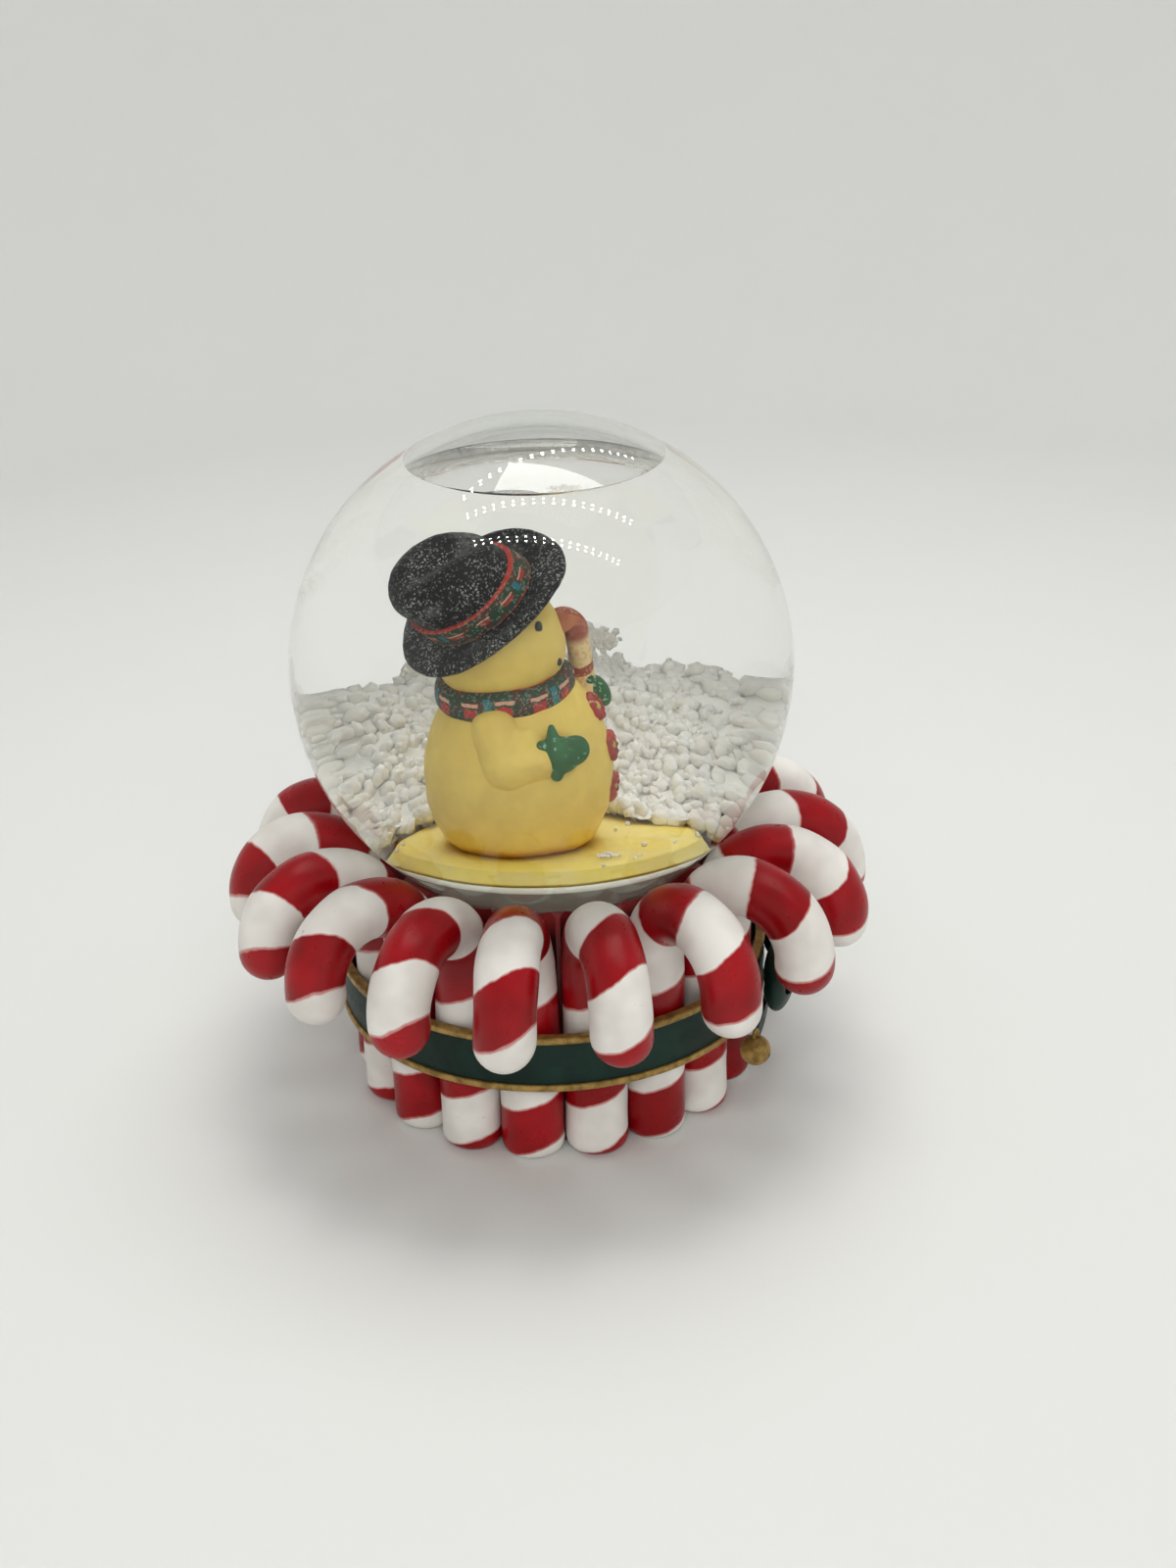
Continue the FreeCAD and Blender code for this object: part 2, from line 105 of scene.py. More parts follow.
def point_values(piece, name, values):
    """Keeps one number per vertex for the material to read."""
    layer = piece.data.attributes.new(name, "FLOAT", "POINT")
    layer.data.foreach_set("value", np.asarray(values, np.float32))


def grid_faces(rows, columns, closed_rows=False):
    """Quads between rings of vertices."""
    faces = []
    for r in range(rows if closed_rows else rows - 1):
        s = (r + 1) % rows
        for c in range(columns):
            d = (c + 1) % columns
            faces.append((r * columns + c, r * columns + d, s * columns + d, s * columns + c))
    return faces


def capped(rows, columns):
    """Faces of a stack of rings closed at both ends."""
    faces = grid_faces(rows, columns)
    faces.append(tuple(reversed(range(columns))))
    faces.append(tuple(range((rows - 1) * columns, rows * columns)))
    return faces


def lathe(profile, segments, closed=False):
    """Turns (radius, z) points about Z, outside going up. Points on the axis become one vertex."""
    verts, rings, faces = [], [], []
    for radius, z in profile:
        if radius < 1e-6:
            rings.append([len(verts)] * segments)
            verts.append(Vector((0, 0, z)))
            continue
        rings.append(list(range(len(verts), len(verts) + segments)))
        for k in range(segments):
            turn = TAU * k / segments
            verts.append(Vector((radius * math.cos(turn), radius * math.sin(turn), z)))
    pairs = list(zip(rings, rings[1:]))
    if closed:
        pairs.append((rings[-1], rings[0]))
    for low, high in pairs:
        for k in range(segments):
            n = (k + 1) % segments
            face = list(dict.fromkeys((low[k], low[n], high[n], high[k])))
            if len(face) > 2:
                faces.append(tuple(face))
    return verts, faces


def bow_points(radius, centre_r, centre_z, start, end, steps):
    """(radius, z) points round part of a circle; angles in degrees, 0 outward and 90 up."""
    points = []
    for i in range(steps + 1):
        angle = math.radians(start + (end - start) * i / steps)
        points.append((max(centre_r + radius * math.cos(angle), 0.0), centre_z + radius * math.sin(angle)))
    return points


def lump(point, size, seed):
    """Smooth pseudo-random number, about -1 to 1, at a point in millimetres."""
    return noise.noise(Vector(point) / size + Vector((seed * 7.3, seed * 3.1, seed * 1.7)))


def push_out(piece, depth, size, seed, fine=0.0):
    """Hand-modelled unevenness along the normals, in millimetres."""
    mesh = piece.data
    normals = [v.normal.copy() for v in mesh.vertices]
    for vertex, normal in zip(mesh.vertices, normals):
        place = vertex.co / MM
        move = depth * lump(place, size, seed) + fine * lump(place, size / 4, seed + 5)
        vertex.co += normal * (move * MM)
    mesh.update()


def blob(radii, at, turn=None, rings=24, segments=36):
    """Ellipsoid, optionally turned by a matrix before it is placed."""
    profile = [(math.sin(math.pi * i / rings), -math.cos(math.pi * i / rings)) for i in range(rings + 1)]
    profile[0], profile[-1] = (0.0, -1.0), (0.0, 1.0)
    verts, faces = lathe(profile, segments)
    placed = []
    for v in verts:
        p = Vector((v.x * radii[0], v.y * radii[1], v.z * radii[2]))
        placed.append((turn @ p if turn else p) + Vector(at))
    return placed, faces


def limb(start, end, radius_start, radius_end, segments=36):
    """Rounded bar between two points that tapers from one radius to the other."""
    start, end = Vector(start), Vector(end)
    along = (end - start).normalized()
    first = along.orthogonal().normalized()
    second = along.cross(first)
    rows = []
    for i in range(10):
        angle = math.pi / 2 * (1 - i / 9)
        rows.append((start - along * radius_start * math.sin(angle), radius_start * math.cos(angle)))
    for i in range(1, 8):
        share = i / 8
        rows.append((start.lerp(end, share), radius_start + (radius_end - radius_start) * share))
    for i in range(10):
        angle = math.pi / 2 * i / 9
        rows.append((end + along * radius_end * math.sin(angle), radius_end * math.cos(angle)))
    verts = []
    for centre, radius in rows:
        for k in range(segments):
            turn = TAU * k / segments
            verts.append(centre + (first * math.cos(turn) + second * math.sin(turn)) * max(radius, 0.01))
    return verts, capped(len(rows), segments)


def joined(*parts):
    verts, faces = [], []
    for part_verts, part_faces in parts:
        base = len(verts)
        verts += list(part_verts)
        faces += [tuple(base + i for i in f) for f in part_faces]
    return verts, faces


def merge_skin(piece, voxel, smoothing=4):
    """Unites the overlapping shells of a piece into one skin with soft creases."""
    remesh = piece.modifiers.new("skin", "REMESH")
    remesh.mode = "VOXEL"
    remesh.voxel_size = voxel * MM
    remesh.use_smooth_shade = True
    soften = piece.modifiers.new("soften", "SMOOTH")
    soften.factor = 0.5
    soften.iterations = smoothing
    graph = bpy.context.evaluated_depsgraph_get()
    skin = bpy.data.meshes.new_from_object(piece.evaluated_get(graph))
    piece.modifiers.clear()
    piece.data = skin
    skin.polygons.foreach_set("use_smooth", [True] * len(skin.polygons))


def on_figure(verts):
    """From the snowman's own frame, facing -Y with its feet at zero, to the row frame."""
    turn = Matrix.Rotation(FIGURE_TURN, 3, "Z")
    return [turn @ Vector(v) + FIGURE_AT for v in verts]


# ---------------------------------------------------------------- material helpers


class Shade:
    """A node material under construction."""

    def __init__(self, name):
        self.material = bpy.data.materials.new(name)
        self.material.use_nodes = True
        self.tree = self.material.node_tree
        self.tree.nodes.clear()
        self.out = self.tree.nodes.new("ShaderNodeOutputMaterial")

    def node(self, kind, **settings):
        made = self.tree.nodes.new(kind)
        for key, value in settings.items():
            setattr(made, key, value)
        return made

    def link(self, source, target):
        self.tree.links.new(source, target)

    def shader(self, kind, **values):
        shader = self.node(kind)
        for key, value in values.items():
            shader.inputs[key.replace("_", " ")].default_value = value
        self.link(shader.outputs[0], self.out.inputs[0])
        return shader

    def principled(self, **values):
        return self.shader("ShaderNodeBsdfPrincipled", **values)

    def place(self):
        return self.node("ShaderNodeTexCoord").outputs["Object"]

    def axis(self, index):
        split = self.node("ShaderNodeSeparateXYZ")
        self.link(self.place(), split.inputs[0])
        return split.outputs[index]

    def value(self, name):
        return self.node("ShaderNodeAttribute", attribute_name=name).outputs["Fac"]

    def math(self, operation, first, second=None, third=None):
        made = self.node("ShaderNodeMath", operation=operation)
        for socket, given in zip(made.inputs, (first, second, third)):
            if isinstance(given, (int, float)):
                socket.default_value = given
            elif given is not None:
                self.link(given, socket)
        return made.outputs[0]

    def noise(self, scale, detail=3.0, rough=0.55, distortion=0.0):
        """Scale is in features per metre."""
        made = self.node("ShaderNodeTexNoise")
        made.inputs["Scale"].default_value = scale
        made.inputs["Detail"].default_value = detail
        made.inputs["Roughness"].default_value = rough
        made.inputs["Distortion"].default_value = distortion
        self.link(self.place(), made.inputs["Vector"])
        return made.outputs["Fac"]

    def cells(self, scale, output="Color"):
        made = self.node("ShaderNodeTexVoronoi")
        made.inputs["Scale"].default_value = scale
        self.link(self.place(), made.inputs["Vector"])
        return made.outputs[output]

    def ramp(self, source, *stops, smooth=False):
        """Stops are (position, grey or colour)."""
        made = self.node("ShaderNodeValToRGB")
        ramp = made.color_ramp
        ramp.interpolation = "EASE" if smooth else "LINEAR"
        while len(ramp.elements) < len(stops):
            ramp.elements.new(0.5)
        for element, (position, value) in zip(ramp.elements, stops):
            element.position = position
            colour = (value,) * 3 if isinstance(value, (int, float)) else value
            element.color = (*colour, 1.0)
        self.link(source, made.inputs[0])
        return made.outputs[0]

    def mix(self, factor, first, second, kind="MIX"):
        made = self.node("ShaderNodeMix", data_type="RGBA", blend_type=kind)
        for index, given in ((0, factor), (6, first), (7, second)):
            socket = made.inputs[index]
            if isinstance(given, (int, float)):
                socket.default_value = given
            elif isinstance(given, tuple):
                socket.default_value = (*given, 1.0)
            else:
                self.link(given, socket)
        return made.outputs[2]

    def bump(self, height, strength, distance, shader):
        """Distance is in millimetres."""
        made = self.node("ShaderNodeBump")
        made.inputs["Strength"].default_value = strength
        made.inputs["Distance"].default_value = distance * MM
        self.link(height, made.inputs["Height"])
        self.link(made.outputs[0], shader.inputs["Normal"])

    def crevice(self, reach):
        """One in the open, falling to zero in creases; reach in millimetres."""
        made = self.node("ShaderNodeAmbientOcclusion", samples=6)
        made.inputs["Distance"].default_value = reach * MM
        return made.outputs["AO"]


def painted(name, colours, rough, grain=500.0, coat=0.0, bump=0.08, scale=110.0, low=0.4, high=0.6, **extra):
    """Brushed-on paint: two tones in broad patches, fine brush grain, and painted shade darkening the creases from an
    optional third colour.
    """
    s = Shade(name)
    shader = s.principled(Coat_Weight=coat, Coat_Roughness=0.2, **extra)
    tone = s.mix(s.ramp(s.noise(scale, 3.0), (low, 0.0), (high, 1.0)), *colours[:2])
    # Painted shade: the third colour darkens creases and corners, following ambient occlusion.
    if len(colours) > 2:
        tone = s.mix(s.ramp(s.crevice(2.5), (0.25, 1.0), (0.8, 0.0)), tone, colours[2])
    brush = s.noise(grain, 5.0, 0.65)
    tone = s.mix(s.math("MULTIPLY", brush, 0.22), tone, tuple(c * 0.45 for c in colours[0]))
    s.link(tone, shader.inputs["Base Color"])
    s.link(s.ramp(brush, (0.3, rough - 0.08), (0.7, rough + 0.1)), shader.inputs["Roughness"])
    s.bump(brush, 0.6, bump, shader)
    return s.material


# ---------------------------------------------------------------- candy canes

# Distances from the foot along the centre line, in millimetres, where the colour changes.
STRIPE_BORDERS = (2.4, 13.0, 23.8, 34.8, 50.0, 60.2, 69.4, 78.4)
STRIPE_SPAN = 90.0
STRIPE_EDGE = 0.10
RED_DEEP, RED_LIGHT = (0.24, 0.001, 0.003), (0.40, 0.004, 0.009)
WHITE_PAINT, WHITE_SHADE = (0.84, 0.81, 0.77), (0.72, 0.68, 0.64)
BORDER_PINK = (0.62, 0.20, 0.18)
SMUDGE = (0.05, 0.045, 0.04)


def stripe_material(name, starts_red):
    s = Shade(name)
    shader = s.principled(Specular_IOR_Level=0.28)
    wobble = s.math("MULTIPLY_ADD", s.noise(230.0, 2.0), 1.2, -0.6)
    along = s.math("DIVIDE", s.math("ADD", s.value("paint"), wobble), STRIPE_SPAN)
    is_red, stops = starts_red, []
    for border in STRIPE_BORDERS:
        stops.append(((border - STRIPE_EDGE) / STRIPE_SPAN, float(is_red)))
        is_red = not is_red
        stops.append(((border + STRIPE_EDGE) / STRIPE_SPAN, float(is_red)))
    red = s.ramp(along, *stops)
    brush = s.noise(420.0, 5.0, 0.65)
    broad = s.noise(90.0, 2.0)
    red_colour = s.mix(s.ramp(broad, (0.35, 0.0), (0.65, 1.0)), RED_DEEP, RED_LIGHT)
    red_colour = s.mix(s.math("MULTIPLY", brush, 0.35), red_colour, (0.16, 0.0, 0.004))
    white_colour = s.mix(s.ramp(broad, (0.4, 1.0), (0.62, 0.0)), WHITE_PAINT, WHITE_SHADE)
    marks = s.ramp(s.noise(620.0, 6.0, 0.7, distortion=1.4), (0.66, 0.0), (0.72, 0.85))
    where = s.ramp(s.noise(75.0, 2.0), (0.52, 0.0), (0.62, 1.0))
    white_colour = s.mix(s.math("MULTIPLY", marks, where), white_colour, SMUDGE)
    edge = s.math("SUBTRACT", 1.0, s.math("ABSOLUTE", s.math("MULTIPLY_ADD", red, 2.0, -1.0)))
    colour = s.mix(red, white_colour, red_colour)
    colour = s.mix(s.math("MULTIPLY", edge, 0.7), colour, BORDER_PINK)
    s.link(colour, shader.inputs["Base Color"])
    rough = s.math("MULTIPLY_ADD", brush, 0.2, s.math("MULTIPLY_ADD", red, -0.16, 0.36))
    s.link(rough, shader.inputs["Roughness"])
    s.bump(s.math("MULTIPLY_ADD", brush, 0.5, s.math("MULTIPLY", red, 0.35)), 0.5, 0.16, shader)
    return s.material


def cane_rows():
    """(distance, centre, convex side, radius) along a cane at the front, its hook toward -Y."""
    rows = []
    for i in range(6):
        angle = math.pi / 2 * i / 5
        height = FOOT_ROUND * (1 - math.cos(angle))
        rows.append((height, Vector((0, -CANE_RING_R, height)), Vector((0, 1, 0)),
                     CANE_R - FOOT_ROUND * (1 - math.sin(angle))))
    bend_length = math.pi * HOOK_R
    total = HOOK_SPRING_Z + bend_length + HOOK_DROP
    steps = 104
    for i in range(1, steps + 1):
        d = FOOT_ROUND + (total - FOOT_ROUND) * i / steps
        if d < HOOK_SPRING_Z:
            rows.append((d, Vector((0, -CANE_RING_R, d)), Vector((0, 1, 0)), CANE_R))
            continue
        turn = min((d - HOOK_SPRING_Z) / HOOK_R, math.pi)
        drop = max(d - HOOK_SPRING_Z - bend_length, 0.0)
        centre = Vector((0, -CANE_RING_R - HOOK_R + HOOK_R * math.cos(turn),
                         HOOK_SPRING_Z + HOOK_R * math.sin(turn) - drop))
        rows.append((d, centre, Vector((0, math.cos(turn), math.sin(turn))), CANE_R))
    end, centre, convex, _ = rows[-1]
    for i in range(1, 12):
        angle = math.pi / 2 * i / 11
        rows.append((end + CANE_R * math.sin(angle), centre - Vector((0, 0, CANE_R * math.sin(angle))), convex,
                     max(CANE_R * math.cos(angle), 0.05)))
    return rows


def slant(distance):
    """How far the stripes lean round the cane: one way on the shaft, the other on the hook."""
    share = min(max((distance - 38.0) / 18.0, 0.0), 1.0)
    return 1.8 - 3.9 * share


CANE_SIDES = 40
HAND_R = 0.22
SHAFT_WIDEN = 0.42
HAND_SWAY = 0.45


def make_cane(index, materials):
    """One hand-made cane, slightly uneven, with its own slip in the stripes."""
    turn = Matrix.Rotation(TAU * index / CANE_COUNT, 3, "Z")
    side = Vector((1, 0, 0))
    draw = random.Random(100 + index)
    lean, slide, steep = draw.uniform(-0.7, 0.7), draw.uniform(-0.6, 0.6), draw.uniform(0.85, 1.2)
    verts, paint = [], []
    rows = cane_rows()
    for distance, centre, convex, radius in rows:
        high = min(max((distance - 24.0) / 30.0, 0.0), 1.0)
        centre = centre + side * high * (lean + HAND_SWAY * lump((0, 0, distance), 17.0, index))
        slip = slide * min(distance / 40.0, 1.0) + 0.9 * lump((distance, index, 0), 12.0, 3)
        for k in range(CANE_SIDES):
            around = -TAU * k / CANE_SIDES
            out = convex * math.cos(around) + side * math.sin(around)
            dent = HAND_R * (lump(centre + out * 5.0, 7.0, index) - 0.7) * radius / CANE_R
            wider = side * math.sin(around) * SHAFT_WIDEN * (1.0 - high)
            verts.append(turn @ (centre + out * (radius + dent) + wider))
            paint.append(distance + slip - steep * slant(distance) * math.sin(around))
    node = f"cane_{index + 1:02d}"
    piece = add_mesh(f"painted_{node}", verts, capped(len(rows), CANE_SIDES), [node], [materials[index % 2]])
    point_values(piece, "paint", paint)


cane_materials = (stripe_material("cane red first", True), stripe_material("cane white first", False))
for cane_index in range(CANE_COUNT):
    make_cane(cane_index, cane_materials)

# ---------------------------------------------------------------- glass and water


def clear_material(name, ior, colour):
    s = Shade(name)
    s.shader("ShaderNodeBsdfGlass", IOR=ior, Roughness=0.0, Color=(*colour, 1.0))
    return s.material


GLASS_IOR, WATER_IOR = 1.5, 1.333
outer_glass = clear_material("clear blown glass", GLASS_IOR, (0.995, 0.998, 0.992))
water_side = clear_material("water against glass", WATER_IOR / GLASS_IOR, (0.998, 1.0, 0.995))
water_top = clear_material("water against air", WATER_IOR, (1.0, 1.0, 1.0))
wetted = Shade("wetted glass")
wetted.shader("ShaderNodeBsdfTransparent", Color=(1.0, 1.0, 1.0, 1.0))
wetted_glass = wetted.material

GLOBE_SEGMENTS = 192
WATER_GAP = 0.02
INNER_R = GLOBE_R - GLASS_WALL
INNER_NECK_R = NECK_R - NECK_WALL
WATER_END_Z = PLUG_TOP_Z - 1.2
MENISCUS = 2.4
MENISCUS_REACH = 6.5


def angle_at_radius(ball_r, radius):
    """Angle below the equator, in degrees, at which a ball is as narrow as a radius."""
    return math.degrees(math.acos(radius / ball_r))


def make_glass():
    """Ball and neck as one closed shell; the inside below the water line is marked as wet."""
    fillet = 1.2
    outer_turn = angle_at_radius(GLOBE_R, NECK_R + fillet)
    profile = [(NECK_R - 0.6, NECK_END_Z), (NECK_R, NECK_END_Z + 0.6)]
    neck_top = GLOBE_Z - GLOBE_R * math.sin(math.radians(outer_turn)) - fillet
    profile += [(NECK_R, NECK_END_Z + 3.0), (NECK_R, neck_top)]
    profile += bow_points(GLOBE_R, 0.0, GLOBE_Z, -outer_turn, 90.0, 120)
    inner_turn = angle_at_radius(INNER_R, INNER_NECK_R)
    line_turn = math.degrees(math.asin((WATER_LINE_Z - GLOBE_Z) / INNER_R))
    inside = bow_points(INNER_R, 0.0, GLOBE_Z, 90.0, line_turn, 30)
    inside += bow_points(INNER_R, 0.0, GLOBE_Z, line_turn, -inner_turn, 110)[1:]
    inside += [(INNER_NECK_R, PLUG_TOP_Z - 3.0), (INNER_NECK_R, NECK_END_Z + 0.4), (INNER_NECK_R + 0.4, NECK_END_Z)]
    profile += inside
    verts, faces = lathe(profile, GLOBE_SEGMENTS, closed=True)
    glass = add_mesh("glass_ball", verts, faces, ["globe_glass"], [outer_glass, wetted_glass])
    for face in glass.data.polygons:
        centre = face.center / MM
        reach = math.hypot(math.hypot(centre.x, centre.y), centre.z - GLOBE_Z)
        on_ball = abs(reach - INNER_R) < 0.4
        in_neck = abs(math.hypot(centre.x, centre.y) - INNER_NECK_R) < 0.2 and centre.z < PLUG_TOP_Z + 6
        if centre.z < WATER_LINE_Z and (on_ball or in_neck) and centre.z > NECK_END_Z + 1:
            face.material_index = 1


def make_water():
    """Body of water just inside the glass, its surface curling up where it meets the wall."""
    radius = INNER_R - WATER_GAP
    neck = INNER_NECK_R - WATER_GAP
    low = -angle_at_radius(radius, neck)
    flat_z = WATER_LINE_Z - MENISCUS
    high = math.degrees(math.asin((WATER_LINE_Z - GLOBE_Z) / radius))
    profile = [(0.0, WATER_END_Z), (neck, WATER_END_Z)]
    profile += bow_points(radius, 0.0, GLOBE_Z, low, high, 130)
    rim = math.sqrt(radius ** 2 - (WATER_LINE_Z - GLOBE_Z) ** 2)
    for i in range(1, 25):
        share = i / 24
        profile.append((rim - MENISCUS_REACH * share ** 1.15, flat_z + MENISCUS * (1 - share) ** 2.0))
    profile += [((rim - MENISCUS_REACH) * (1 - i / 6), flat_z) for i in range(1, 6)] + [(0.0, flat_z)]
    verts, faces = lathe(profile, GLOBE_SEGMENTS)
    water = add_mesh("water_fill", verts, faces, ["water"], [water_side, water_top])
    for face in water.data.polygons:
        centre = face.center / MM
        from_wall = radius - math.hypot(math.hypot(centre.x, centre.y), centre.z - GLOBE_Z)
        if centre.z > flat_z - 0.01 and from_wall > 0.03:
            face.material_index = 1


make_glass()
make_water()

# ---------------------------------------------------------------- snowman

# The third cream colour is painted shade, laid into the figure's creases by ambient occlusion.
CREAM, CREAM_DEEP, CREAM_CREASE_SHADE = (0.97, 0.72, 0.155), (0.92, 0.66, 0.14), (0.85, 0.46, 0.03)
cream_paint = painted("aged cream resin with painted crease shade", (CREAM, CREAM_DEEP, CREAM_CREASE_SHADE), 0.55, bump=0.12, scale=170.0)

BODY_FOOT_R, BODY_R, BODY_WIDE_H, BODY_H, BODY_NECK_R = 10.0, 13.8, 10.5, 25.5, 7.6
HEAD_R, HEAD_BACK, HEAD_H = 10.0, 2.4, 31.0


def body_circle():
    """Circle through the foot, the widest point and the neck: (centre radius, centre height, radius)."""
    (ax, ay), (bx, by), (cx, cy) = (BODY_FOOT_R, 0.0), (BODY_R, BODY_WIDE_H), (BODY_NECK_R, BODY_H)
    d = 2 * (ax * (by - cy) + bx * (cy - ay) + cx * (ay - by))
    ux = ((ax**2 + ay**2) * (by - cy) + (bx**2 + by**2) * (cy - ay) + (cx**2 + cy**2) * (ay - by)) / d
    uy = ((ax**2 + ay**2) * (cx - bx) + (bx**2 + by**2) * (ax - cx) + (cx**2 + cy**2) * (bx - ax)) / d
    return ux, uy, math.hypot(ax - ux, ay - uy)


CIRCLE_X, CIRCLE_H, CIRCLE_R = body_circle()


def body_radius(height):
    return CIRCLE_X + math.sqrt(CIRCLE_R ** 2 - (height - CIRCLE_H) ** 2)


def make_body():
    profile = [(0.0, 0.0), (BODY_FOOT_R - 0.9, 0.0), (BODY_FOOT_R - 0.1, 0.5)]
    profile += [(body_radius(h / 2), h / 2) for h in range(2, int(BODY_H * 2) + 1)]
    profile.append((0.0, BODY_H))
    verts, faces = lathe(profile, 96)
    piece = add_mesh("snowman_body_skin", on_figure(verts), faces, ["snowman_body"], [cream_paint])
    push_out(piece, 0.28, 8.0, 11, 0.10)
    verts, faces = blob((HEAD_R, HEAD_R, HEAD_R - 0.4), (0, HEAD_BACK, HEAD_H), rings=44, segments=80)
    piece = add_mesh("snowman_head_skin", on_figure(verts), faces, ["snowman_head"], [cream_paint])
    push_out(piece, 0.28, 7.0, 12, 0.10)
    elbow = (-10.5, 3.2, 14.9)
    right = joined(limb((-8.7, 4.6, 20.4), elbow, 3.8, 4.2), limb(elbow, (-11.6, -1.6, 15.9), 4.2, 3.4),
                   blob((3.4, 4.4, 4.2), (-10.2, 0.8, 17.4)))
    left = limb((10.2, 1.0, 20.0), (9.6, -7.6, 18.8), 4.2, 3.9)
    for side, (verts, faces) in (("right", right), ("left", left)):
        piece = add_mesh(f"{side}_arm_skin", on_figure(verts), faces, [f"{side}_arm"],
                         [cream_paint])
        merge_skin(piece, 0.32, 10)
        push_out(piece, 0.3, 6.0, 13, 0.10)


MITTEN_GREEN, MITTEN_LIGHT = (0.010, 0.105, 0.022), (0.028, 0.17, 0.05)


def speckled(name, colours, specks, amount, rough, scale=2600.0, **extra):
    """Paint with fine bright specks in it, as glitter or as the grain of a worn coat."""
    s = Shade(name)
    shader = s.principled(**extra)
    tone = s.mix(s.ramp(s.noise(210.0, 4.0), (0.4, 0.0), (0.6, 1.0)), *colours)
    split = s.node("ShaderNodeSeparateColor")
    s.link(s.cells(scale), split.inputs[0])
    density = s.math("MULTIPLY", s.ramp(s.noise(330.0, 3.0), (0.3, 0.55), (0.7, 1.0)), split.outputs[0])
    speck = s.ramp(density, (0.86 - amount, 0.0), (0.90 - amount, 1.0))
    s.link(s.mix(speck, tone, specks), shader.inputs["Base Color"])
    s.link(s.ramp(speck, (0.0, rough), (1.0, rough * 0.6)), shader.inputs["Roughness"])
    s.bump(split.outputs[1], 0.35, 0.12, shader)
    return s.material


mitten_paint = speckled("green mitten paint", (MITTEN_GREEN, MITTEN_LIGHT), (0.20, 0.42, 0.26), 0.12, 0.6)


def make_mittens():
    tilt = Matrix.Rotation(math.radians(-28), 3, "X")
    palm = blob((1.9, 3.2, 3.0), (-13.0, -4.9, 17.0), tilt)
    fingers = blob((1.7, 2.6, 2.5), (-12.7, -6.9, 17.5), tilt)
    cuff = limb((-13.0, -1.9, 18.7), (-13.3, -4.1, 13.9), 0.9, 1.0)
    thumb = limb((-13.2, -3.9, 18.4), (-12.9, -3.5, 21.6), 1.5, 0.6)
    verts, faces = joined(palm, fingers, cuff, thumb)
    piece = add_mesh("right_mitten_skin", on_figure(verts), faces, ["right_mitten"], [mitten_paint])
    merge_skin(piece, 0.28)
    push_out(piece, 0.15, 3.0, 21)
    palm = blob((2.5, 2.4, 3.0), (6.8, -11.6, 19.8), tilt)
    fingers = blob((2.4, 1.6, 2.6), (5.2, -12.8, 20.4), tilt)
    thumb = limb((5.2, -11.0, 21.4), (3.8, -11.2, 23.0), 1.3, 1.0)
    verts, faces = joined(palm, fingers, thumb)
    piece = add_mesh("left_mitten_skin", on_figure(verts), faces, ["left_mitten"], [mitten_paint])
    merge_skin(piece, 0.28)
    push_out(piece, 0.15, 3.0, 22)


# Plaid runs along "around", in millimetres, and "across", from 0 to 1.
PLAID_REPEAT = 11.5
PLAID_GREEN, PLAID_BROWN, PLAID_EDGE = (0.018, 0.060, 0.030), (0.10, 0.035, 0.020), (0.52, 0.045, 0.030)
PLAID_RED, PLAID_PINK, PLAID_TEAL = (0.50, 0.035, 0.030), (0.80, 0.42, 0.28), (0.030, 0.20, 0.24)


def plaid_material():
    s = Shade("painted plaid")
    shader = s.principled(Roughness=0.6, Specular_IOR_Level=0.3)
    wander = s.math("MULTIPLY_ADD", s.noise(500.0, 3.0), 0.9, -0.45)
    along = s.math("DIVIDE", s.math("ADD", s.value("around"), wander), PLAID_REPEAT)
    phase = s.math("FRACT", along)
    across = s.math("MULTIPLY_ADD", wander, 0.12, s.value("across"))

    def stripe(source, *edges):
        """One between each pair of edges, zero elsewhere."""
        stops = [(0.0, 0.0)]
        for start, end in edges:
            stops += [(start, 0.0), (start + 0.012, 1.0), (end - 0.012, 1.0), (end, 0.0)]
        return s.ramp(source, *stops)

    ground = s.mix(s.ramp(s.noise(620.0, 3.0), (0.46, 0.0), (0.56, 0.9)), PLAID_GREEN, PLAID_BROWN)
    dash = s.math("MULTIPLY", stripe(phase, (0.12, 0.34), (0.62, 0.84)), stripe(across, (0.36, 0.52)))
    colour = s.mix(dash, ground, PLAID_RED)
    line = s.math("MULTIPLY", stripe(phase, (0.09, 0.37), (0.59, 0.87)), stripe(across, (0.54, 0.62)))
    colour = s.mix(line, colour, PLAID_PINK)
    teal = s.math("MULTIPLY", stripe(phase, (0.43, 0.55)), stripe(across, (0.30, 0.72)))
    colour = s.mix(teal, colour, PLAID_TEAL)
    colour = s.mix(s.ramp(across, (0.05, 1.0), (0.09, 0.0), (0.91, 0.0), (0.95, 1.0)), colour, PLAID_EDGE)
    split = s.node("ShaderNodeSeparateColor")
    s.link(s.cells(3000.0), split.inputs[0])
    colour = s.mix(s.ramp(split.outputs[0], (0.80, 0.0), (0.86, 0.45)), colour, (0.34, 0.40, 0.30))
    s.link(colour, shader.inputs["Base Color"])
    s.bump(s.noise(1500.0, 3.0), 0.5, 0.10, shader)
    return s.material


plaid_paint = plaid_material()


